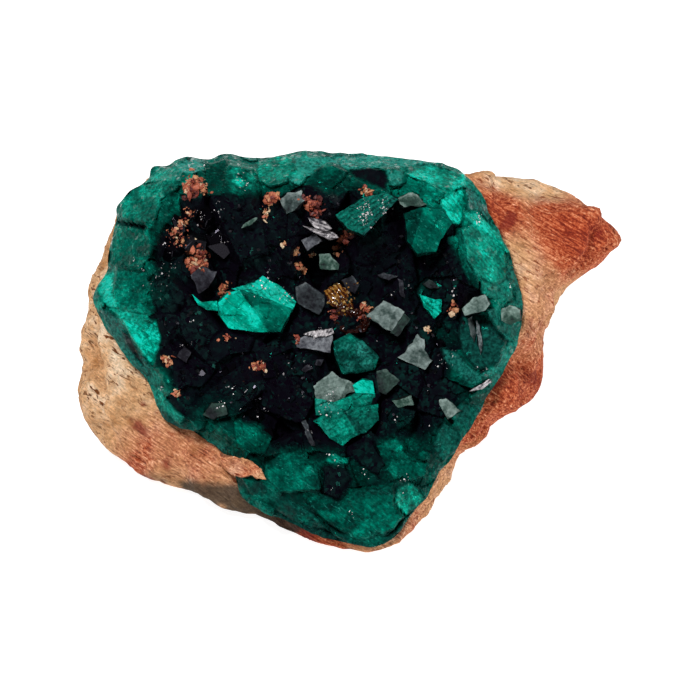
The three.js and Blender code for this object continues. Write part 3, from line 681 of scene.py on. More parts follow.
rimCrystals = [
    (-15.9, 12.6, 2.7, -20, 28, 110, 0.4), (-17.2, 9.4, 2.7, -26, 8, 60, 0.3),
    (-17.5, 5.8, 2.6, -28, 10, 130, 0.3), (-17.8, 2.9, 2.4, -30, -4, 80, 0.3),
    (-16.0, 1.2, 2.3, 4, -16, 200, 0.5), (-12.8, 13.7, 2.5, -8, 30, 30, 0.3),
    (-9.2, 13.4, 2.8, 4, 28, 120, 0.3), (-5.2, 13.9, 2.6, -6, 34, 70, 0.2),
    (-1.6, 13.6, 2.8, 8, 32, 20, 0.2), (1.8, 14.0, 2.5, -4, 36, 100, 0.2),
    (4.9, 14.0, 2.6, 6, 34, 60, 0.2), (8.0, 12.9, 2.9, 14, 26, 100, 0.4),
    (9.0, 10.4, 2.6, 18, 8, 150, 0.5), (10.9, 8.6, 2.7, 28, 12, 60, 0.3),
    (11.5, 5.8, 2.8, 26, 4, 110, 0.3), (12.6, -0.6, 2.1, 30, -4, 70, 0.3),
    (4.8, -11.6, 2.3, 20, -14, 320, 0.4), (2.5, -13.1, 2.1, 8, -22, 250, 0.3),
    (-1.0, -12.9, 2.3, -6, -20, 290, 0.3), (-4.3, -11.7, 2.1, -12, -18, 240, 0.3),
    (-7.0, -9.4, 1.7, -16, -12, 200, 0.3), (-12.1, -5.6, 1.6, -14, -8, 220, 0.3),
]


# the crystal's three axes from the way its showing rhomb faces and the bearing of its apex
def crystalAxes(turnRight, turnUp, apexBearing):
    facing = np.stack([tangent(turnRight), tangent(turnUp), np.ones_like(turnUp)], -1)
    facing /= np.linalg.norm(facing, axis=-1, keepdims=True)
    apex = np.stack([cosine(apexBearing), sine(apexBearing), np.zeros_like(apexBearing)], -1)
    apex -= facing * np.sum(apex * facing, -1, keepdims=True)
    apex /= np.linalg.norm(apex, axis=-1, keepdims=True)
    slope = crystal["tipSlope"]
    axis = cosine(slope) * facing + sine(slope) * apex
    spoke = sine(slope) * facing - cosine(slope) * apex
    return np.stack([spoke, np.cross(axis, spoke), axis], -1)


# corners of many crystals at once: apex, six shoulders by turns low and half way up the tip, six feet
def crystalCorners(place, radius, axes):
    rise = tangent(crystal["tipSlope"])
    bearing = 60 * np.arange(6)
    shoulder = np.stack([cosine(bearing), sine(bearing), rise / 2 * (np.arange(6) % 2)], -1)
    foot = shoulder * [1, 1, 0] - [0, 0, crystal["length"]]
    unit = np.concatenate([[[0, 0, rise]], shoulder, foot])
    middle = np.array([0.5, 0, rise / 2])
    return place[:, None] + np.einsum("nij,kj->nki", axes, unit - middle) * radius[:, None, None]


def crystalFaces(count):
    shoulder, foot = 1 + np.arange(6), 7 + np.arange(6)
    tips = np.array([[0, 6, 1, 2], [0, 2, 3, 4], [0, 4, 5, 6]])
    sides = np.stack([shoulder, foot, np.roll(foot, -1), np.roll(shoulder, -1)], -1)
    start = crystal["corners"] * np.arange(count)[:, None]
    quads = (start[..., None] + np.concatenate([tips, sides])).reshape(-1, 4)
    return [quads, start + foot[::-1]]


# one piece of many crystals, given one value a crystal
def makeCrystals(name, corners, material, slot, **values):
    values = {word: np.repeat(value, crystal["corners"]) for word, value in values.items()}
    return makePiece(name, toWorld(corners.reshape(-1, 3)), crystalFaces(len(corners)), material, slot,
                     crystal["sharpAngle"], **values)


# the height of a crystal over a spot: the lowest of its upward planes, where that is above the downward ones
def crystalTop(across, up, place, radius, axes):
    slope = crystal["tipSlope"]
    tip, side = np.array([0, 120, 240]), 30 + 60 * np.arange(6)
    tips = np.stack([sine(slope) * cosine(tip), sine(slope) * sine(tip), cosine(slope) + 0 * tip], -1)
    sides = np.stack([cosine(side), sine(side), 0.0 * side], -1)
    normals = np.concatenate([tips, sides]) @ axes.T
    reach = np.concatenate([np.full(3, sine(slope)), np.full(6, cosine(30))]) * radius
    centre = place - axes @ np.array([0.5, 0, tangent(slope) / 2]) * radius
    level = reach + normals @ centre
    height = (level - across[..., None] * normals[:, 0] - up[..., None] * normals[:, 1]) / normals[:, 2]
    upward = np.where(normals[:, 2] > 0, height, np.inf).min(-1)
    downward = np.where(normals[:, 2] < 0, height, -np.inf).max(-1)
    return np.where(upward > downward, upward, -np.inf)


def listedCrystals(rows):
    across, up, radius, turnRight, turnUp, apex, stand = np.array(rows, float).T
    place = np.stack([across, up, bedOut(*onBed(across, up)) + stand], -1)
    return place, radius, crystalAxes(turnRight, turnUp, apex)


# distance from points to a straight line between two ends
def lineDistance(across, up, ends):
    a, b = fromPhoto(ends)
    along = ((across - a[0]) * (b - a)[0] + (up - a[1]) * (b - a)[1]) / np.sum((b - a)**2)
    along = np.clip(along, 0, 1)
    return np.hypot(across - a[0] - along * (b - a)[0], up - a[1] - along * (b - a)[1])


# distance inside an outline, less than nothing outside it: the nearest edge, signed by counting crossings
def insideOutline(across, up, outline):
    ends = fromPhoto(outline)
    nearest, inside = np.full(across.shape, np.inf), np.zeros(across.shape, bool)
    for (x, y), (nextX, nextY) in zip(ends, np.roll(ends, -1, 0)):
        run, rise = nextX - x, nextY - y
        along = np.clip(((across - x) * run + (up - y) * rise) / (run**2 + rise**2), 0, 1)
        nearest = np.minimum(nearest, np.hypot(across - x - along * run, up - y - along * rise))
        inside ^= ((y > up) != (nextY > up)) & (across < x + (up - y) * run / (rise or 1))
    return np.where(inside, nearest, -nearest)


# each flat break is the least-squares plane of the bed inside its outline, tilted, with a groove round it,
# brighter towards the crust's edge, and with painted glints just inside its outline
def breakRim(across, up, out, tone, worn):
    look = bedLook
    flat = np.stack([across, up, 0 * up], -1)
    wobble = look["facetWobble"] * fractal(flat, look["wobbleSize"], 3, 25)
    # strength of the painted glints along the breaks' edges
    paleAndGlint = look["edgeGlint"] * np.clip(look["glintLeast"] + fractal(flat, look["glintSize"], 3, 27), 0, 1)
    groove = look["grooveLeast"] + look["grooveVary"] * fractal(flat, look["grooveSize"], 2, 29)
    groove = look["groove"] * np.clip(groove, 0, 1)
    covered = np.zeros(out.shape)
    away = np.hypot(across - face["heart"][0], up - face["heart"][1])
    for facetTone, facetPale, right, tilt, outline in rimFacets:
        inset = insideOutline(across + wobble, up - wobble, outline)
        core = inset > 0
        aside, above = across - across[core].mean(), up - up[core].mean()
        facetTone = facetTone * (1 + look["facetGlow"] * (away - away[core].mean()))
        columns = np.stack([np.ones(core.sum()), aside[core], above[core]], -1)
        level, slopeAcross, slopeUp = np.linalg.lstsq(columns, out[core], rcond=None)[0]
        plane = level + (slopeAcross - tangent(right)) * aside + (slopeUp - tangent(tilt)) * above
        share, fade = smooth(inset, *look["facetEdge"]), smooth(inset, *look["facetFade"])
        out = out + share * (plane - out)
        out = out - groove * np.exp(-(inset / look["grooveWidth"])**2)
        tone = tone + fade * (facetTone - tone)
        # a painted glint just inside the break's outline, on the brighter breaks only
        edge = np.exp(-((inset - look["glintAt"]) / look["highlightWidth"])**2)
        edge = edge * smooth(facetTone, *look["glintTone"])
        worn = worn + fade * (facetPale - worn) + paleAndGlint * edge
        covered = np.maximum(covered, share)
    return out, tone, worn, covered


# the crust's bed: the smooth bed joined to the rim's blocks by a soft maximum, then broken into tilted flats
def makeBed(material):
    look = bedLook
    bearing = np.arange(crust["bearings"]) * 360 / crust["bearings"]
    share = (np.linspace(1 / crust["rings"], 1, crust["rings"])**crust["ringPower"])[:, None]
    edge = around(crust["reach"], bearing)
    ragged = edge + look["ragged"] * fractal(facePoints(bearing, edge, 0.0), look["raggedSize"], 3, 5)
    flat = facePoints(bearing, share * ragged, 0.0)
    across, up = flat[..., 0], flat[..., 1]
    smoothBed = bedOut(bearing, share)
    blocks = np.full(smoothBed.shape, -np.inf)
    place, radius, axes = listedCrystals(rimCrystals)
    for i in range(len(radius)):
        blocks = np.maximum(blocks, crystalTop(across, up, place[i], radius[i], axes[i]))
    blocks = blocks - look["blockFall"] * edgeFall(bearing, share)
    soft = look["blockSoftness"]
    out = smoothBed + np.logaddexp(0, np.clip(soft * (blocks - smoothBed), -40, 40)) / soft
    bend = look["bend"] * fractal(flat, look["bendSize"], 2, 15)
    chipBend, footShadeBend = look["chipBend"] * bend, look["footShadeBend"] * bend
    big, bigTint = mosaic(across + bend, up - bend, look["blockSize"], 41)
    small, smallTint = mosaic(across - chipBend, up + chipBend, look["chipSize"], 51)
    greenFrom = around(look["greenFrom"], bearing)
    rim = smooth(share - greenFrom + look["blockJut"] * bigTint, *look["greenEdge"])
    tone = rim * (around(look["tone"], bearing) + look["blockTone"] * bigTint) + patches(flat, look["haze"])
    # paler towards the crust's outer edge: wear and painted highlight
    worn = smooth(share, look["wornFrom"], 1) * around(look["worn"], bearing)
    worn = worn * (look["wornLeast"] + look["wornMottle"] * fractal(flat, look["wornSize"], 3, 17))
    out, tone, worn, covered = breakRim(across, up, out + look["blockTilt"] * big, tone, worn)
    out = out + look["chipTilt"] * small * (1 - look["chipsCovered"] * covered)
    out = out + look["roughRise"] * fractal(np.stack([across, up, out], -1), look["roughSize"], 3, 1)
    crack = np.exp(-(lineDistance(across, up, look["crack"]) / look["crackWidth"])**2)
    out = np.maximum(out - look["crackDepth"] * crack, seatOut(bearing, share) + crust["edgeWall"] / 2)
    mottle = look["mottle"] * fractal(flat, look["mottleSize"], 3, 33)
    tone = tone * (1 + look["chipTone"] * smallTint + mottle)
    # painted shade: dark patches on the lower part of the crust
    shards = mosaic(across + footShadeBend, up - footShadeBend, look["footShadeSize"], 71)[1]
    shards = shards + look["footShadeRagged"] * fractal(flat, look["footShadeRaggedSize"], 2, 37)
    footShade = smooth(shards, *look["footShadeEdge"]) * smooth(-sine(bearing), *look["footShadeBearing"])
    tone = np.clip(tone * (1 - look["crackDark"] * crack) * (1 - look["footShade"] * footShade), 0, 1)
    top = np.stack([across, up, out], -1)
    low = seatOut(bearing, 1.0)
    wall = [facePoints(bearing, ragged, out[-1] + (low - out[-1]) * s) for s in crust["wallRings"]]
    under = [facePoints(bearing, s * ragged, seatOut(bearing, s)) for s in crust["underRings"]]
    rings = np.concatenate([top, np.stack(wall), np.stack(under)])
    first = facePoints(0.0, 0.0, out[0].mean())[None]
    last = facePoints(0.0, 0.0, seatOut(0.0, 0.0))[None]
    points = np.concatenate([first, rings.reshape(-1, 3), last])
    below = np.ones((len(rings) - len(top), 1))
    tones = np.concatenate([[0], tone.ravel(), (crust["wallTone"] * below * tone[-1]).ravel(), [0]])
    worns = np.clip(np.concatenate([[0], worn.ravel(), (below * worn[-1]).ravel(), [0]]), 0, 1)
    faces = skinFaces(len(rings), crust["bearings"])
    piece = makePiece("crust_bed", toWorld(points), faces, material, "dioptase", sharpAngle=12,
                      tone=tones, worn=worns, glassy=0 * tones)
    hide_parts("dioptase_crust")
    return piece


# The rock under the crust

rock = {
    "reach": [
        (0, 18.0), (6, 18.7), (12, 20.4), (16, 23.8), (18.5, 25.4), (24, 24.8), (30, 23.3), (36, 21.7),
        (42, 19.8), (50, 17.2), (60, 15.8), (75, 14.2), (90, 13.8), (105, 14.1), (120, 15.9), (132, 17.9),
        (144, 19.3), (153, 19.0), (162, 18.9), (170, 18.6), (180, 19.2), (186, 19.1), (194, 20.1),
        (201, 19.9), (210, 18.9), (218, 17.9), (228, 16.1), (240, 15.0), (252, 14.9), (264, 15.8),
        (276, 16.8), (286, 17.4), (294, 17.0), (302, 16.3), (312, 14.9), (320, 14.6), (330, 15.0),
        (338, 16.1), (347, 18.1)],
    "lipInset": 0.35, "lipRise": 0.2, "seatGap": 0.3, "sideDrop": 6.5, "tableClearance": 0.5,
    "backDepth": 19.5, "backReach": 16, "backRounding": 0.75, "backBluntness": 0.62, "backFullness": 0.9,
    "lump": (0.8, 8), "grit": (0.4, 3.1), "pit": (1.6, 5.5, 0.4, 20), "ledge": (0.6, 3.4, 0.3),
    "breaks": [  # the way each flat break faces, and its reach
        ((-0.55, 0.62, -0.56), 16.2), ((0.3, 0.8, -0.52), 16.6), ((0.72, 0.12, -0.68), 18.2),
        ((-0.9, -0.05, -0.44), 20.6), ((0.05, 0.25, -0.97), 17.6), ((0.86, -0.4, -0.3), 16.4),
        ((-0.3, 0.1, -0.95), 17.8)],
    "fineRise": 0.12, "fineSize": 1.4, "fibreRise": 0.1, "fibreSize": (3.0, 0.5), "fibreTurn": -32,
    "smallPit": 0.22, "smallPitSize": (1.4, 0.6), "smallPitEdge": (0.5, 0.9),
    "hidden": (0.8, 0.95),  # sine of the bearing where the crust hides the widest line, rough too there
    "rustLeast": 0.12, "rustDrift": 0.25, "rustDriftSize": 5,
    "stainDepth": 0.8, "stainRagged": 1.3, "stainRaggedSize": 0.8, "stainEdge": (0.3, 1.2),
    "stainFront": (-14, -9),  # how far out the stains set in, so that the back has none
    "darkDepth": 0.9, "darkRagged": 0.6, "darkRaggedSize": 1.6, "darkEdge": (0.25, 0.9),
    # rust, dark red stains and painted shade along the lower edge by photograph pixel:
    # x, y, radius in mm, strength
    "rust": [(560, 215, 4.0, 0.7), (495, 210, 2.4, 0.9), (590, 235, 3.0, 0.7), (520, 385, 3.6, 0.85),
             (140, 455, 2.6, 0.25), (200, 460, 3.2, 0.25), (130, 472, 1.2, 0.6), (310, 535, 4.0, 0.9),
             (545, 268, 2.6, -0.05), (100, 370, 4.5, -0.4), (500, 178, 1.2, -0.5), (530, 182, 1.4, -0.8),
             (560, 190, 1.3, -0.8), (588, 203, 1.2, -0.6), (530, 320, 2.4, 0.0), (470, 432, 2.6, 0.35),
             (440, 486, 2.6, 0.25), (410, 528, 2.2, 0.2), (84, 400, 1.6, 0.3)],
    "stain": [(129, 421, 0.35, 0.9), (136, 426, 0.42, 1.3), (144, 432, 0.4, 1.3), (508, 222, 0.7, 1.2),
              (513, 212, 0.4, 1.0), (498, 232, 0.5, 0.9), (486, 190, 0.8, 0.9), (603, 232, 1.2, 0.8),
              (495, 378, 1.0, 1.0), (538, 322, 0.7, 1.0), (535, 380, 0.8, 0.8), (300, 535, 2.6, 1.0),
              (164, 464, 0.7, 0.8), (212, 456, 0.45, 0.9), (143, 405, 0.3, 0.9), (150, 474, 1.0, 0.7)],
    "dark": [(128, 470, 0.9, 0.35), (146, 477, 0.9, 0.45), (166, 482, 0.9, 0.6), (188, 488, 0.9, 0.9),
             (210, 493, 1.0, 1.3), (232, 498, 1.1, 1.5), (254, 507, 1.1, 1.5), (274, 514, 1.0, 1.4),
             (292, 526, 1.0, 0.9), (98, 452, 0.7, 0.4), (522, 412, 0.8, 0.5)],
    "bearings": 430, "seatRings": (0.3, 0.6, 0.85), "sideRings": 66, "backRings": 120,
}


# how far the rock stands proud: lumps of two sizes, less pits where lumps peak, plus triangle-wave ledges
def rockRelief(points):
    pitDepth, pitLength, pitLevel, pitShift = rock["pit"]
    ledgeRise, ledgeSpacing, ledgeSlope = rock["ledge"]
    pit = pitDepth * np.maximum(0, lumps(points + pitShift, pitLength) - pitLevel)
    step = (points[..., 2] + ledgeSlope * points[..., 0]) / ledgeSpacing % 1
    big, small = [rise * lumps(points, length) for rise, length in (rock["lump"], rock["grit"])]
    return big + small - pit + ledgeRise * (np.abs(2 * step - 1) - 0.5)


def roughen(points, amount):
    away = points[..., :2] - np.array(face["heart"])
    away = away / np.maximum(np.linalg.norm(away, axis=-1, keepdims=True), 1e-9)
    shift = (amount * rockRelief(points))[..., None] * away
    return np.concatenate([points[..., :2] + shift, points[..., 2:]], -1)


def knockOff(points):
    for facing, reach in rock["breaks"]:
        normal = np.array(facing) / np.linalg.norm(facing)
        points = points - normal * np.maximum(0, points @ normal - reach)[..., None]
    return points


# noise drawn out along the rock's fibres
def fibreNoise(points, size, octaves, seed):
    turn = rock["fibreTurn"]
    along = points[..., 0] * cosine(turn) + points[..., 1] * sine(turn)
    beside = points[..., 1] * cosine(turn) - points[..., 0] * sine(turn)
    shrunk = np.stack([along / size[0], beside / size[1], points[..., 2] / size[1]], -1)
    return fractal(shrunk, 1, octaves, seed)


# the rock: a seat under the crust, a quarter-ellipse side out to the widest line and a blunt back,
# roughened, flattened at its breaks, given fine grain along its normals and set flat on the table
def makeRock(material):
    bearing = np.arange(rock["bearings"]) * 360 / rock["bearings"]
    crustEdge, wide = around(crust["reach"], bearing), around(rock["reach"], bearing)
    lip = np.minimum(crustEdge, wide) - rock["lipInset"]
    lipOut = seatOut(bearing, 1.0) + rock["lipRise"]
    tableAt = face["place"][2] / cosine(face["lean"])
    floor = rock["tableClearance"] - tableAt - face["heart"][1] - wide * sine(bearing)
    wideOut = np.maximum(seatOut(bearing, 1.0) - rock["seatGap"] - rock["sideDrop"], floor)
    seat = [facePoints(bearing, s * lip, seatOut(bearing, s) - rock["seatGap"]) for s in rock["seatRings"]]
    seat = np.stack(seat + [facePoints(bearing, lip, lipOut)])
    s = (np.arange(rock["sideRings"]) + 1)[:, None] / rock["sideRings"]
    sideOut = lipOut + (wideOut - lipOut) * (1 - cosine(90 * s))
    behind = smooth(sine(bearing), *rock["hidden"])
    side = facePoints(bearing, lip + (wide - lip) * sine(90 * s), sideOut)
    side = roughen(side, sine(180 * s) + behind * (sine(90 * s) - sine(180 * s)))
    s = (np.arange(rock["backRings"] - 1) + 1)[:, None] / rock["backRings"]
    rounded = wide + (rock["backReach"] - wide) * rock["backRounding"] * s
    out = wideOut + (-rock["backDepth"] - wideOut) * sine(90 * s)**rock["backFullness"]
    back = facePoints(bearing, rounded * cosine(90 * s)**rock["backBluntness"], out)
    back = knockOff(roughen(back, sine(180 * s) + behind * (cosine(90 * s) - sine(180 * s))))
    rings = np.concatenate([seat, side, back])
    normal = np.cross(np.gradient(rings, axis=0), np.roll(rings, -1, 1) - np.roll(rings, 1, 1))
    normal /= np.maximum(np.linalg.norm(normal, axis=-1, keepdims=True), 1e-9)
    smallPit = smooth(fibreNoise(rings, rock["smallPitSize"], 2, 4), *rock["smallPitEdge"])
    rise = rock["fineRise"] * fractal(rings, rock["fineSize"], 4, 2) - rock["smallPit"] * smallPit
    rise = rise + rock["fibreRise"] * fibreNoise(rings, rock["fibreSize"], 3, 9)
    shown = np.arange(len(rings))[:, None] >= len(seat)
    rings = rings + normal * (rise * shown)[..., None]
    first = facePoints(0.0, 0.0, seatOut(0.0, 0.0) - rock["seatGap"])[None]
    last = knockOff(facePoints(0.0, 0.0, -rock["backDepth"])[None])
    flat = np.concatenate([first, rings.reshape(-1, 3), last])
    points = toWorld(flat)
    points[:, 2] = np.maximum(points[:, 2], 0)
    drift = rock["rustDrift"] * grain(flat, rock["rustDriftSize"], 8)
    rust = rock["rustLeast"] + patches(flat, rock["rust"]) + drift
    ragged = 1 + rock["stainRagged"] * fractal(flat, rock["stainRaggedSize"], 4, 12)
    stain = smooth(patches(flat, rock["stain"]) * ragged, *rock["stainEdge"])
    stain = rock["stainDepth"] * smooth(flat[:, 2], *rock["stainFront"]) * stain
    # painted shade along the lower edge
    ragged = 1 + rock["darkRagged"] * fractal(flat, rock["darkRaggedSize"], 3, 19)
    dark = rock["darkDepth"] * smooth(patches(flat, rock["dark"]) * ragged, *rock["darkEdge"])
    faces = skinFaces(len(rings), rock["bearings"])
    piece = makePiece("matrix_rock", points, faces, material, "limestone", sharpAngle=60,
                      rust=rust, stain=stain, dark=dark)
    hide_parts("matrix")
    return piece


# Broken blocks cut to an outline

# frost with painted reflection, greenness, planes as (turn right, turn up, rise),
# outline in photograph pixels
frostedBlocks = [
    (0.66, 0.5, [(-6, 18, 0)], [(280, 199), (287, 193), (301, 190), (305, 199), (298, 208), (286, 214)]),
    (0.54, 0.0, [(8, 14, 0)], [(301, 240), (313, 232), (322, 240), (307, 250)]),
    (0.64, 1.0, [(5, 18, 0)], [(319, 254), (329, 254), (340, 263), (338, 270), (320, 268)]),
    (0.7, 0.6, [(4, 17, 0)], [(384, 300), (405, 312), (392, 332), (366, 316)]),
    (0.4, 0.2, [(24, 10, 0)], [(295, 287), (305, 282), (324, 295), (324, 306), (318, 315), (297, 303)]),
    (0.62, 0.0, [(-8, 24, 0)], [(295, 340), (305, 335), (334, 330), (330, 352), (297, 347)]),
    (0.7, 0.6, [(10, 18, 0), (-4, 34, 0.3)],
     [(398, 358), (413, 343), (418, 334), (425, 339), (425, 351), (433, 360), (425, 370)]),
    (0.68, 0.8, [(4, 18, 0)], [(438, 401), (445, 398), (461, 411), (447, 419)]),
    (0.48, 1.0, [(10, 14, 0)], [(392, 401), (411, 395), (414, 405), (398, 407)]),
    (0.34, 0.8, [(6, 20, 0)], [(376, 372), (387, 369), (399, 381), (387, 395), (379, 391)]),
    (0.66, 0.8, [(-4, 22, 0)], [(463, 309), (473, 297), (485, 294), (490, 304), (485, 311), (465, 315)]),
    (0.6, 1.0, [(6, 18, 0)], [(502, 309), (510, 305), (520, 309), (521, 320), (510, 324), (502, 320)]),
    (0.62, 0.9, [(4, 30, 0)], [(396, 199), (408, 193), (417, 194), (427, 205), (404, 207)]),
    (0.34, 0.0, [(14, 20, 0)], [(190, 274), (200, 266), (216, 272), (209, 287), (198, 294)]),
    (0.5, 1.0, [(8, 26, 0)], [(241, 229), (246, 222), (255, 217), (257, 219), (249, 226)]),
    (0.3, 0.9, [(-10, 8, 0)], [(203, 415), (212, 403), (224, 403), (228, 414), (214, 419)]),
    (0.26, 0.0, [(10, 10, 0)], [(176, 356), (184, 347), (190, 352), (186, 362)]),
    (0.56, 0.4, [(20, 8, 0)], [(469, 319), (473, 317), (476, 332), (474, 343), (471, 336)]),
    (0.6, 0.3, [(24, 6, 0)], [(477, 321), (480, 327), (483, 345), (481, 355), (478, 344)]),
    (0.32, 0.1, [(10, 14, 0)], [(378, 276), (384, 273), (398, 276), (390, 280)]),
    (0.3, 0.0, [(20, 6, 0)], [(398, 279), (402, 281), (405, 298), (400, 295)]),
    (0.32, 0.6, [(4, 20, 0)], [(423, 284), (430, 279), (440, 287), (432, 289)]),
    (0.26, 0.0, [(6, 20, 0)], [(314, 365), (318, 360), (324, 360), (321, 365)]),
    (0.26, 0.0, [(6, 16, 0)], [(301, 370), (308, 365), (312, 369), (305, 373)]),
    (0.34, 0.2, [(8, 14, 0)], [(302, 421), (306, 420), (309, 432), (315, 445), (311, 446), (305, 433)]),
    (0.3, 0.1, [(6, 22, 0)], [(341, 280), (352, 275), (360, 284), (356, 293), (348, 290)]),
    (0.3, 0.8, [(26, 2, 0)], [(405, 313), (411, 318), (398, 336), (391, 333)]),
    (0.74, 0.8, [(-12, 22, 0), (10, 12, 0.2)],
     [(313, 385), (331, 372), (341, 379), (355, 383), (356, 391), (346, 395), (344, 404), (330, 409),
      (317, 401)]),
]
# tone, wear and painted glint, glassiness, strength and turn of its ruled lines, planes, outline
tealBlocks = [
    (0.78, 0.0, 0.6, (0.0, -38), [(-6, -12, 0), (14, 2, 0.2)],
     [(217, 303), (228, 292), (240, 289), (262, 297), (292, 308), (280, 332), (252, 332), (228, 328),
      (217, 313)]),
    (1.0, 0.2, 0.4, (0.35, -38), [(8, 20, 0)],
     [(232, 288), (254, 282), (263, 276), (281, 287), (296, 301), (292, 309), (262, 299)]),
    (0.66, 0.0, 0.5, (0.1, -20), [(10, 10, 0)],
     [(192, 294), (200, 302), (217, 301), (217, 311), (206, 309), (198, 305)]),
    (0.92, 0.0, 0.5, (0.1, -38), [(14, 14, 0)],
     [(353, 385), (362, 379), (373, 381), (375, 394), (356, 393)]),
    (0.58, 0.1, 0.2, (0.06, 16), [(-6, 6, 0), (12, 10, 0.2)],
     [(315, 398), (330, 404), (345, 398), (357, 392), (375, 394), (378, 408), (355, 415), (335, 418),
      (316, 415)]),
    (0.6, 0.1, 0.2, (0.08, 24), [(-8, -8, 0.1), (12, 4, 0.2)],
     [(314, 421), (322, 416), (336, 414), (355, 408), (378, 404), (379, 420), (366, 432), (352, 437),
      (343, 446), (330, 438)]),
    (0.3, 0.2, 0.2, (0.5, 34), [(-16, 26, 0), (14, 4, 0.5)],
     [(336, 215), (364, 197), (386, 193), (398, 199), (377, 220), (364, 236), (348, 228)]),
    (0.4, 0.0, 0.4, (0.0, 0), [(14, 6, 0), (-12, 14, 0.4)],
     [(405, 214), (420, 207), (444, 209), (452, 223), (440, 239), (436, 251), (418, 254), (408, 241)]),
    (0.72, 0.0, 0.4, (0.25, -38), [(22, -8, 0)],
     [(420, 294), (435, 300), (442, 299), (442, 311), (435, 319), (424, 306)]),
    (0.3, 0.08, 0.0, (0.0, 0), [(-20, 18, 0.1), (20, 20, 0.1), (10, -24, 0.05)],
     [(333, 342), (349, 334), (362, 340), (374, 351), (379, 358), (374, 369), (358, 373), (343, 375),
      (336, 360)]),
]
# planes, growth line turn, outline
chipBlocks = [
    ([(10, 18, 0)], -20, [(307, 217), (324, 220), (332, 228), (326, 231), (314, 227)]),
    ([(6, 22, 0)], -16, [(303, 225), (317, 229), (334, 232), (338, 237), (329, 239), (314, 232)]),
    ([(-8, 24, 0)], 60,
     [(303, 334), (312, 331), (322, 330), (333, 328), (334, 333), (326, 336), (314, 337)]),
    ([(20, 10, 0)], 35, [(470, 391), (478, 386), (490, 379), (492, 382), (482, 389)]),
]
# amber calcite ruled with gold, and a dark red lump beside it: hue, strength of its lines, planes, outline
amberBlocks = [
    (0.4, 0.3, [(8, 14, 0), (-10, 20, 0.1)],
     [(323, 291), (336, 282), (346, 288), (357, 301), (351, 309), (340, 309), (329, 302)]),
    (0.02, 0.05, [(4, 10, 0)],
     [(330, 311), (345, 306), (361, 310), (371, 321), (364, 333), (346, 334), (334, 326)]),
]
frostedShape = {"perEdge": 10, "rings": 18, "sideRings": 4, "flare": 0.12, "root": 0.6, "lift": 0.06,
                "tallest": 4.0, "chipRise": 0.1, "chipSize": 0.55, "flatTilt": 0.05, "flatSize": 0.7,
                "highlightWidth": 0.13, "edgeHighlight": 0.14, "topLight": 0.26, "tintAndShade": -0.18,
                "mottle": 0.34, "mottleSize": 0.9, "sideShade": 0.35}
tealShape = {"perEdge": 12, "rings": 24, "sideRings": 8, "flare": 0.15, "root": 0.6, "lift": 0.22,
             "tallest": 4.4, "chipRise": 0.08, "chipSize": 0.7, "flatTilt": 0.18, "flatSize": 0.9,
             "lineSpacing": 0.34, "topLightTone": 0.14, "tintAndShadeTone": -0.3,
             "mottle": 0.25, "mottleSize": 0.9, "sideShade": 0.55,
             # pale places (rubbed, and painted glint) and darker places (dark cracks, and painted shadow)
             # by photograph pixel: x, y, radius in mm, strength
             "paleAndGlint": [(361, 349, 0.5, 0.7), (368, 363, 0.45, 0.6), (347, 346, 0.3, 0.4),
                        (349, 367, 0.35, 0.5), (322, 404, 0.5, 0.7), (334, 408, 0.4, 0.7),
                        (326, 430, 0.5, 0.3), (276, 290, 0.5, 0.3)],
             "crackAndShadow": [(342, 356, 0.5, -0.4), (356, 357, 0.3, -0.5), (366, 370, 0.3, -0.4),
                     (247, 297, 0.7, -0.25), (318, 415, 0.45, -0.5), (328, 416, 0.45, -0.5),
                     (339, 416, 0.4, -0.4), (348, 414, 0.4, -0.3), (356, 424, 0.8, -0.2),
                     (352, 205, 0.6, -0.4), (384, 212, 0.6, -0.4), (432, 232, 0.7, -0.2)]}
chipShape = {"perEdge": 10, "rings": 16, "sideRings": 3, "flare": 0.1, "root": 0.3, "lift": 0.15,
             "tallest": 3.4, "chipRise": 0.06, "chipSize": 0.3, "flatTilt": 0.0, "flatSize": 1.0,
             "lineSpacing": 0.26, "lineRise": 0.02, "lineWhite": 0.07, "white": 0.2,
             "mottle": 0.16, "mottleSize": 0.35}
amberShape = {"perEdge": 10, "rings": 20, "sideRings": 3, "flare": 0.2, "root": 0.4, "lift": 0.1,
              "tallest": 3.0, "chipRise": 0.14, "chipSize": 0.35, "flatTilt": 0.3, "flatSize": 0.35,
              "lineTurn": -48, "lineSpacing": 0.3, "lineRise": 0.04, "mottle": 0.5, "mottleSize": 0.4}


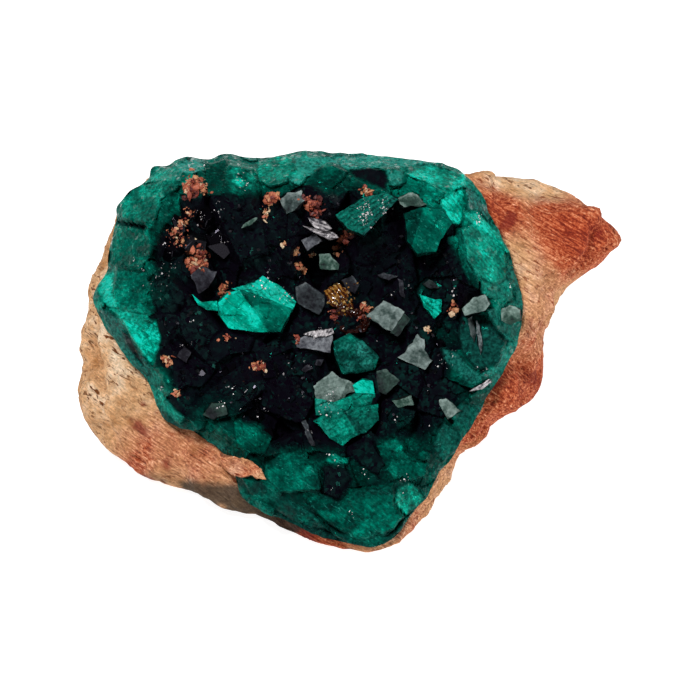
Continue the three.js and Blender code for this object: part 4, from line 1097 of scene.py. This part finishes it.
# rings of the outline carried in to its middle under the lowest of a few tilted planes, and down its flaring
# sides to the bed, raised until its top clears what is under it
def blockParts(outline, planes, shape, drop):
    outline = fromPhoto(outline)
    across, up = outline.T
    if np.sum(across * np.roll(up, -1) - np.roll(across, -1) * up) < 0:
        outline = outline[::-1]
    share = np.arange(shape["perEdge"])[:, None] / shape["perEdge"]
    loop = (outline[:, None] * (1 - share) + np.roll(outline, -1, 0)[:, None] * share).reshape(-1, 2)
    middle = outline.mean(0)
    right, tilt, rise = np.array(planes, float).T

    def planeOut(spots):
        away = spots - middle
        return (rise - tangent(right) * away[..., :1] - tangent(tilt) * away[..., 1:]).min(-1)

    samples = np.concatenate([middle + s * (loop - middle) for s in (1, 0.75, 0.5, 0.25)])
    under = np.array([drop(*spot) for spot in samples])
    bedHere = bedOut(*onBed(*middle))
    level = min(np.max(under - planeOut(samples)), bedHere + shape["tallest"]) + shape["lift"]
    foot = min(under.min(), bedHere) - shape["root"]
    scale = np.linspace(1 / shape["rings"], 1, shape["rings"])[:, None, None]
    top = middle + scale * (loop - middle)
    topOut = level + planeOut(top)
    fall = np.linspace(0, 1, shape["sideRings"] + 1)[:, None, None]
    fall[0] = 0.03  # a ring just under the top, which keeps its edge crisp
    sides = middle + (1 + shape["flare"] * fall) * (loop - middle)
    sideOut = topOut[-1] + (foot - topOut[-1]) * fall[..., 0]
    rings = np.concatenate([np.concatenate([top, topOut[..., None]], -1),
                            np.concatenate([sides, sideOut[..., None]], -1)])
    first = np.append(middle, level + planeOut(middle))[None]
    points = np.concatenate([first, rings.reshape(-1, 3), np.append(middle, foot)[None]])
    flats, tint = mosaic(points[:, 0], points[:, 1], shape["flatSize"], 61)
    shift = np.stack([fractal(points, shape["chipSize"], 3, seed) for seed in (21, 22, 23)], -1)
    points = points + shape["chipRise"] * shift
    points[:, 2] += shape["flatTilt"] * flats
    onTop = np.arange(len(points)) <= len(loop) * shape["rings"]
    height = (points[:, 1] - middle[1]) / np.abs(outline[:, 1] - middle[1]).max()
    away = points[:, :2] - middle
    lowest = (rise - tangent(right) * away[:, :1] - tangent(tilt) * away[:, 1:]).argmin(-1)
    # painted shade: of two planes side by side one is drawn darker, on top of a random tint
    tint = 0.5 * tint + 1.6 * (lowest % 2) - 0.5  # planes side by side differ
    return points, skinFaces(len(rings), len(loop)), onTop, tint, height


def joinParts(parts):
    columns = list(zip(*parts))
    starts = np.cumsum([0] + [len(points) for points in columns[0]])[:-1]
    faces = [np.concatenate([part[k] + start for part, start in zip(columns[1], starts)]) for k in (0, 1)]
    return [np.concatenate(columns[0]), faces] + [np.concatenate(column) for column in columns[2:]]


# growth lines: a sine wave across a bearing, bent by noise
def ruledLines(points, turn, spacing):
    waver = 0.12 * fractal(points, 0.8, 3, 2)
    beside = points[:, 1] * cosine(turn) - points[:, 0] * sine(turn) + waver
    return np.sin(2 * np.pi * beside / spacing)


def makeFrostAndReflectionBlocks(material, drop):
    shape = frostedShape
    parts = []
    # each block's tip carries frost whose grey is partly a painted reflection of the lamps
    for frost, green, planes, outline in frostedBlocks:
        points, faces, onTop, tint, height = blockParts(outline, planes, shape, drop)
        inset = insideOutline(points[:, 0], points[:, 1], outline)
        # a painted highlight along the block's edges
        edge = np.exp(-(inset / shape["highlightWidth"])**2) * np.clip(0.5 + fractal(points, 0.8, 2, 24), 0, 1)
        mottle = shape["mottle"] * fractal(points, shape["mottleSize"], 4, 14)
        # painted light: lighter up the face, and planes side by side painted lit and shaded
        shade = 1 + shape["topLight"] * height + mottle + shape["tintAndShade"] * tint
        # the sides in painted shade
        frosts = (frost * shade + shape["edgeHighlight"] * edge) * np.where(onTop, 1, shape["sideShade"])
        parts.append((points, faces, frosts, np.full(len(points), green)))
    points, faces, frosts, greens = joinParts(parts)
    return makePiece("frosted_crystals", toWorld(points), faces, material, "dioptase", sharpAngle=20,
                     frost=frosts, green=greens)


def makeTealBlocks(material, drop):
    shape = tealShape
    parts = []
    for tone, worn, glassy, (ruled, turn), planes, outline in tealBlocks:
        points, faces, onTop, tint, height = blockParts(outline, planes, shape, drop)
        lines = ruled * ruledLines(points, turn, shape["lineSpacing"])
        mottle = shape["mottle"] * fractal(points, shape["mottleSize"], 3, 16)
        # painted light: lighter up the face, and planes side by side painted lit and shaded
        shade = 1 + shape["tintAndShadeTone"] * tint + shape["topLightTone"] * height + mottle + lines
        # darker at dark cracks and at a painted shadow; the sides in painted shade
        tones = tone * (shade + patches(points, shape["crackAndShadow"])) * np.where(onTop, 1, shape["sideShade"])
        # paler where rubbed and where glints are painted, on top only
        worns = (worn + patches(points, shape["paleAndGlint"])) * onTop
        parts.append((points, faces, tones, worns, np.full(len(points), glassy)))
    points, faces, tones, worns, glassies = joinParts(parts)
    return makePiece("teal_crystals", toWorld(points), faces, material, "dioptase", sharpAngle=12,
                     tone=np.clip(tones, 0, 1), worn=worns, glassy=glassies)


# a tongue of limestone that laps over the crust's lower edge
tongue = {"planes": [(6, -8, 0), (-10, 16, 0.15), (24, 4, 0.2)],
          "outline": [(222, 456), (236, 458), (251, 462), (261, 470), (268, 481), (258, 477), (249, 476),
                      (240, 476), (232, 474), (224, 466)],
          "shape": {"perEdge": 8, "rings": 16, "sideRings": 4, "flare": 0.2, "root": 0.5, "lift": -0.1,
                    "tallest": 2.0, "chipRise": 0.18, "chipSize": 0.6, "flatTilt": 0.1, "flatSize": 0.6},
          "rust": 0.45, "rustDrift": 0.35, "rustDriftSize": 1.0,
          "stain": 0.6, "stainSize": 0.7, "stainEdge": (0.2, 0.8), "dark": 0.3}


def makeTongue(material, drop):
    points, faces, _, _, _ = blockParts(tongue["outline"], tongue["planes"], tongue["shape"], drop)
    rust = tongue["rust"] + tongue["rustDrift"] * grain(points, tongue["rustDriftSize"], 8)
    stain = tongue["stain"] * smooth(fractal(points, tongue["stainSize"], 3, 12), *tongue["stainEdge"])
    return makePiece("limestone_tongue", toWorld(points), faces, material, "limestone", sharpAngle=40,
                     rust=rust, stain=stain, dark=tongue["dark"] * stain)


def makeChips(material, drop):
    parts = []
    for planes, turn, outline in chipBlocks:
        points, faces, _, _, _ = blockParts(outline, planes, chipShape, drop)
        wave = ruledLines(points, turn, chipShape["lineSpacing"])
        points = points + np.array([0, 0, chipShape["lineRise"]]) * wave[:, None]
        mottle = chipShape["mottle"] * fractal(points, chipShape["mottleSize"], 2, 6)
        parts.append((points, faces, chipShape["white"] + chipShape["lineWhite"] * wave + mottle))
    points, faces, lines = joinParts(parts)
    return makePiece("pale_chips", toWorld(points), faces, material, "limestone", line=lines)


def makeAmberBlocks(material, drop):
    parts = []
    for hue, ruled, planes, outline in amberBlocks:
        points, faces, onTop, _, height = blockParts(outline, planes, amberShape, drop)
        wave = ruledLines(points, amberShape["lineTurn"], amberShape["lineSpacing"])
        mottle = amberShape["mottle"] * fractal(points, amberShape["mottleSize"], 2, 6)
        hues = hue + ruled * (wave * onTop + height + mottle)
        points = points + np.array([0, 0, amberShape["lineRise"]]) * wave[:, None]
        parts.append((points, faces, np.clip(hues, 0, 1)))
    points, faces, hues = joinParts(parts)
    return makePiece("amber_blocks", toWorld(points), faces, material, "limestone", sharpAngle=15, hue=hues)


# Crystals of the hollow, and small ones strewn between them at the sunflower's angle

filler = {"count": 150, "radius": (0.45, 1.2), "stand": 0.45, "spread": 0.8, "turn": 38, "sink": 0.5,
          "frosted": 0.12, "frost": (0.08, 0.2), "green": 0.4,
          "clearance": 1.6,                            # from a broken block's outline, in radii
          "steps": (0.7549, 0.5698, 0.8192, 0.6711)}  # irrational strides that vary size, turns and apex


# crystals that stand clear of the broken blocks
def clearOfBlocks(place, radius):
    keep = np.ones(len(place), bool)
    for row in frostedBlocks + tealBlocks:
        keep &= insideOutline(place[:, 0], place[:, 1], row[-1]) < -filler["clearance"] * radius
    return keep


def makeClearCrystals(material):
    place, radius, axes = listedCrystals(hollowCrystals)
    place[:, 2] -= filler["sink"]
    i = np.arange(filler["count"])
    size, right, up, point = [(i * step) % 1 for step in filler["steps"]]
    bearing = i * sunflowerTurn
    share = filler["spread"] * np.sqrt((i + 0.5) / filler["count"])
    small = filler["radius"][0] + (filler["radius"][1] - filler["radius"][0]) * size
    smallOut = bedOut(bearing, share) + filler["stand"] * small
    smallPlace = facePoints(bearing, share * around(crust["reach"], bearing), smallOut)
    smallAxes = crystalAxes(filler["turn"] * (2 * right - 1), filler["turn"] * (2 * up - 1), 360 * point)
    place, radius = np.concatenate([place, smallPlace]), np.concatenate([radius, small])
    axes = np.concatenate([axes, smallAxes])
    bearing, share = onBed(place[:, 0], place[:, 1])
    keep = clearOfBlocks(place, radius) & (share < around(bedLook["greenFrom"], bearing))
    place, radius, axes = place[keep], radius[keep], axes[keep]
    frosted = luck.uniform(0, 1, len(radius)) < filler["frosted"]
    frost = np.where(frosted, luck.uniform(*filler["frost"], len(radius)), 0)
    piece = makeCrystals("clear_crystals", crystalCorners(place, radius, axes), material, "dioptase",
                         frost=frost, green=np.full(len(frost), filler["green"]))
    bevel = piece.modifiers.new("worn edges", "BEVEL")
    bevel.width, bevel.segments = crystal["edgeGlint"] * mm, 2
    bevel.limit_method, bevel.angle_limit = "ANGLE", math.radians(crystal["wornFrom"])
    return piece


# Small bits that lie on the crystals: each is dropped straight on to what carries it

def dropper(pieces):
    depsgraph = bpy.context.evaluated_depsgraph_get()
    trees = [BVHTree.FromObject(piece, depsgraph) for piece in pieces]
    down = Vector(toWorld((0, 0, -1)) - toWorld((0, 0, 0)))
    high = 20

    def drop(across, up):
        start = Vector(toWorld((across, up, high)) * mm)
        hits = [tree.ray_cast(start, down)[3] for tree in trees]
        return high - min([hit for hit in hits if hit is not None], default=high * mm) / mm
    return drop


# photograph x, y, spread in mm, how many, size in mm, hue from dark red 0 to cream 1
grainSpots = [
    (195, 184, 0.75, 120, 0.16, 0.55), (192, 193, 0.4, 24, 0.13, 0.3), (271, 198, 0.5, 70, 0.15, 0.42),
    (267, 212, 0.5, 24, 0.12, 0.75), (313, 203, 0.6, 80, 0.15, 0.12), (318, 213, 0.4, 30, 0.12, 0.1),
    (197, 259, 0.75, 110, 0.15, 0.5), (187, 262, 0.3, 20, 0.13, 0.65), (176, 236, 0.75, 70, 0.09, 0.55),
    (182, 224, 0.5, 36, 0.08, 0.65), (188, 211, 0.45, 26, 0.08, 0.65), (224, 289, 0.45, 44, 0.14, 0.55),
    (258, 366, 0.45, 50, 0.13, 0.55), (367, 191, 0.35, 30, 0.14, 0.7), (345, 237, 0.5, 50, 0.14, 0.3),
    (167, 361, 0.45, 44, 0.13, 0.7), (175, 392, 0.3, 12, 0.12, 0.8), (337, 249, 0.4, 26, 0.11, 0.85),
    (296, 251, 0.25, 16, 0.12, 0.9), (312, 254, 0.25, 14, 0.12, 0.9), (300, 266, 0.4, 26, 0.12, 0.6),
    (284, 245, 0.2, 10, 0.1, 0.9), (229, 338, 0.35, 16, 0.1, 0.55), (366, 308, 0.4, 26, 0.13, 0.6),
    (297, 339, 0.3, 22, 0.13, 0.35), (454, 307, 0.4, 26, 0.11, 0.7), (428, 330, 0.25, 14, 0.11, 0.85),
    (333, 316, 0.5, 20, 0.11, 0.22), (362, 317, 0.4, 24, 0.12, 0.2),
]


scatter = {"long": 0.65, "short": 0.4}  # shares of a row's spread
crumb = {"sides": 6, "rings": 3, "tilt": 50, "smallest": 0.4, "span": 1.2, "stretch": (0.4, 1.8),
         "bump": 0.8, "bumpSize": 0.6, "stand": 0.35, "hueShare": 0.78, "hueSpread": 0.2}


# a bell-shaped scatter about a spot, longer one way than the other
def scattered(at, spread, count):
    turn = luck.uniform(0, 180)
    long, short = [luck.normal(0, spread * scatter[word], count) for word in ("long", "short")]
    across, up = long * cosine(turn) - short * sine(turn), long * sine(turn) + short * cosine(turn)
    return fromPhoto(at) + np.stack([across, up], -1)


# a crumb: a coarse sphere on a grid of bearing and height, its radius pushed in and out by noise
def makeGrains(material, drop):
    bearing = np.arange(crumb["sides"]) * 360 / crumb["sides"]
    tilt = np.linspace(-crumb["tilt"], crumb["tilt"], crumb["rings"])[:, None]
    unit = np.broadcast_arrays(cosine(tilt) * cosine(bearing), cosine(tilt) * sine(bearing), sine(tilt))
    unit = np.concatenate([[[0, 0, -1]], np.stack(unit, -1).reshape(-1, 3), [[0, 0, 1]]])
    faces = [part[:, ::-1] for part in skinFaces(crumb["rings"], crumb["sides"])]
    parts = []
    for x, y, spread, count, size, hue in grainSpots:
        spots = scattered((x, y), spread, count)
        sizes = size * (crumb["smallest"] + crumb["span"] * luck.uniform(0, 1, count)**2)
        hues = np.clip(crumb["hueShare"] * hue + luck.normal(0, crumb["hueSpread"], count), 0, 1)
        for (across, up), radius, tint in zip(spots, sizes, hues):
            stretch = luck.uniform(*crumb["stretch"], 3) * radius
            bump = crumb["bump"] * grain(unit + luck.uniform(0, 50, 3), crumb["bumpSize"])
            turn = luck.uniform(0, 180)
            turned = [(cosine(turn), sine(turn), 0), (-sine(turn), cosine(turn), 0), (0, 0, 1)]
            place = [across, up, drop(across, up) + crumb["stand"] * radius]
            points = unit * (1 + bump[:, None]) * stretch @ turned + place
            parts.append((points, faces, np.full(len(unit), tint)))
    points, joined, hues = joinParts(parts)
    return makePiece("ochre_grains", toWorld(points), joined, material, "limestone", sharpAngle=8, hue=hues)


amber = {"at": (342, 299), "spread": (0.66, 0.6), "count": 60, "radius": (0.05, 0.14), "turn": 60,
         "hue": (0.5, 0.28)}  # its middle and its spread
druse = {"count": 500, "radius": (0.06, 0.2), "from": 0.2, "to": 0.95, "turn": 55, "frost": (0, 0.12),
         "green": 0.5}
# painted glints as white flakes: photograph x, y, spread in mm, how many, whiteness
glintSpots = [
    (330, 402, 0.9, 60, 0.7), (242, 178, 0.8, 30, 0.6), (266, 284, 0.8, 40, 0.7), (285, 299, 0.7, 30, 0.7),
    (365, 212, 1.0, 110, 0.6), (384, 203, 0.7, 40, 0.5), (478, 220, 0.6, 24, 0.7), (320, 331, 0.5, 26, 0.8),
    (335, 460, 0.5, 10, 0.8), (405, 480, 0.7, 12, 0.6), (364, 475, 0.4, 8, 0.7), (352, 511, 0.5, 8, 0.6),
    (455, 357, 0.8, 14, 0.6), (443, 362, 0.4, 8, 0.8), (480, 372, 0.6, 8, 0.6), (453, 292, 0.5, 12, 0.6),
    (408, 286, 0.3, 4, 0.7), (391, 293, 0.3, 3, 0.7), (232, 388, 0.45, 9, 0.7), (245, 390, 0.2, 4, 0.7),
    (220, 405, 0.45, 9, 0.8), (239, 410, 0.15, 3, 0.8), (266, 411, 0.25, 4, 0.8), (257, 417, 0.1, 2, 0.7),
    (190, 321, 0.25, 5, 0.6), (191, 345, 0.3, 6, 0.7), (180, 347, 0.3, 4, 0.5), (110, 267, 0.3, 5, 0.7),
    (132, 258, 0.3, 4, 0.7), (140, 270, 0.6, 8, 0.6), (168, 268, 0.9, 26, 0.4), (158, 286, 0.8, 18, 0.3),
    (164, 244, 0.35, 10, 0.7), (222, 244, 0.6, 10, 0.4), (206, 161, 0.4, 8, 0.8), (192, 163, 0.6, 10, 0.6),
    (220, 205, 0.7, 14, 0.4), (199, 214, 0.5, 16, 0.6), (303, 395, 0.4, 6, 0.4), (309, 430, 0.5, 10, 0.4),
    (290, 368, 0.3, 5, 0.4), (306, 364, 0.4, 6, 0.5), (284, 376, 0.3, 6, 0.3), (395, 420, 0.3, 4, 0.7),
    (429, 391, 0.1, 1, 0.8), (378, 340, 0.1, 1, 0.8), (163, 388, 0.4, 8, 0.6),
    (430, 425, 0.3, 3, 0.6), (331, 489, 0.15, 2, 0.8), (512, 285, 0.3, 6, 0.6), (425, 262, 0.2, 3, 0.5),
]
glintFlake = {"smallest": 0.025, "span": 0.06, "turn": 60, "white": (0.3, 1.1),
         "share": 0.6}  # of the number in each row that is strewn


# tiny crystals strewn about a spot, standing every way out of what carries them by a share of their radius
def strewn(spots, radius, drop, turn, stand=0.3):
    place = np.column_stack([spots, [drop(*spot) for spot in spots] + stand * radius])
    right, up = luck.uniform(-turn, turn, (2, len(radius)))
    return crystalCorners(place, radius, crystalAxes(right, up, luck.uniform(0, 360, len(radius))))


def makeAmber(material, drop):
    spots = fromPhoto(amber["at"]) + luck.normal(0, amber["spread"], (amber["count"], 2))
    radius = luck.uniform(*amber["radius"], amber["count"])
    corners = strewn(spots, radius, drop, amber["turn"])
    hues = np.clip(luck.normal(*amber["hue"], amber["count"]), 0, 1)
    return makeCrystals("amber_druse", corners, material, "limestone", hue=hues)


def makeDruse(material, drop):
    bearing = luck.uniform(0, 360, druse["count"])
    share = np.sqrt(luck.uniform(druse["from"]**2, druse["to"]**2, druse["count"]))
    share = share * around(bedLook["greenFrom"], bearing)
    spots = facePoints(bearing, share * around(crust["reach"], bearing), 0.0)[:, :2]
    radius = luck.uniform(*druse["radius"], druse["count"])
    keep = clearOfBlocks(spots, radius)
    corners = strewn(spots[keep], radius[keep], drop, druse["turn"])
    frost = luck.uniform(*druse["frost"], len(corners))
    return makeCrystals("small_druse", corners, material, "dioptase", frost=frost,
                        green=np.full(len(frost), druse["green"]))


# tiny white flakes that stand for glints: a painted highlight
def makeGlintFlakes(material, drop):
    parts, lines = [], []
    for x, y, spread, count, white in glintSpots:
        count = math.ceil(glintFlake["share"] * count)
        radius = glintFlake["smallest"] + glintFlake["span"] * luck.uniform(0, 1, count)**3
        parts.append(strewn(scattered((x, y), spread, count), radius, drop, glintFlake["turn"]))
        lines.append(np.clip(white * luck.uniform(*glintFlake["white"], count), 0, 1))
    return makeCrystals("glint_flakes", np.concatenate(parts), material, "limestone",
                        line=np.concatenate(lines))


# Stage: a pale floor, a key lamp high on the left, two dimmer lamps, and a long lens square on the face

stage = {
    "lensDistance": 1000, "viewWidth": 56, "sensor": 36,
    "key": {"at": (-150, -90, 430), "size": 120, "watts": 2.2},
    "fill": {"at": (400, -220, 110), "size": 200, "watts": 1.2},
    "back": {"at": (260, 320, 220), "size": 200, "watts": 0.5},
    "world": 0.1, "paper": "#b0b0b0", "paperRoughness": 0.8, "paperGlow": 0.92,
    "paperReach": 4, "paperDrop": 0.1,  # metres each way, and millimetres under the table's level
}


def addLamp(name):
    lamp = stage[name]
    light = bpy.data.lights.new(name, "AREA")
    light.energy, light.size = lamp["watts"], lamp["size"] * mm
    holder = bpy.data.objects.new(name, light)
    holder.location = Vector(lamp["at"]) * mm
    aim = Vector(face["place"]) * mm - holder.location
    holder.rotation_euler = aim.to_track_quat("-Z", "Y").to_euler()
    bpy.context.collection.objects.link(holder)


def makeStage():
    material, tree = newMaterial("white paper")
    shader = addNode(tree, "BsdfPrincipled", inputs={
        "Base Color": linear(stage["paper"]), "Roughness": stage["paperRoughness"],
        "Emission Color": (1, 1, 1, 1), "Emission Strength": stage["paperGlow"]})
    addNode(tree, "OutputMaterial", inputs={"Surface": shader})
    mesh = bpy.data.meshes.new("floor")
    reach, under = stage["paperReach"], -stage["paperDrop"] * mm
    corners = [(x * reach, y * reach, under) for x, y in ((-1, -1), (1, -1), (1, 1), (-1, 1))]
    mesh.from_pydata(corners, [], [(0, 1, 2, 3)])
    mesh.materials.append(material)
    floor = bpy.data.objects.new("floor", mesh)
    bpy.context.collection.objects.link(floor)
    for name in ("key", "fill", "back"):
        addLamp(name)
    world = bpy.data.worlds.new("studio")
    world.use_nodes = True
    world.node_tree.nodes["Background"].inputs["Color"].default_value = (1, 1, 1, 1)
    world.node_tree.nodes["Background"].inputs["Strength"].default_value = stage["world"]
    bpy.context.scene.world = world
    camera = bpy.data.cameras.new("camera")
    camera.sensor_fit, camera.sensor_width = "HORIZONTAL", stage["sensor"]
    camera.lens = stage["sensor"] * stage["lensDistance"] / stage["viewWidth"]
    holder = bpy.data.objects.new("camera", camera)
    holder.location = Vector(toWorld((0, 0, stage["lensDistance"]))) * mm
    holder.rotation_euler = (math.radians(90 - face["lean"]), 0, 0)
    bpy.context.collection.objects.link(holder)
    bpy.context.scene.camera = holder
    bpy.context.scene.view_settings.view_transform = "Standard"


makeStage()
print("stage set")
limestone, massive, clear = rustyLimestone(), massiveDioptase(), clearDioptase()
rockPiece = makeRock(limestone)
bed = makeBed(massive)
makeTongue(limestone, dropper([rockPiece, bed]))
crystals = makeClearCrystals(clear)
drop = dropper([bed, crystals])
teal = makeTealBlocks(massive, drop)
frosted = makeFrostAndReflectionBlocks(clear, drop)
honey = amberCalcite()
amberPiece = makeAmberBlocks(honey, drop)
drop = dropper([bed, crystals, teal, frosted, amberPiece])
calcite = paleCalcite()
makeChips(calcite, drop)
print("crystals grown")
makeAmber(honey, drop)
makeDruse(clear, drop)
makeGlintFlakes(calcite, drop)
makeGrains(ochreGrains(), drop)
print("small bits dropped")
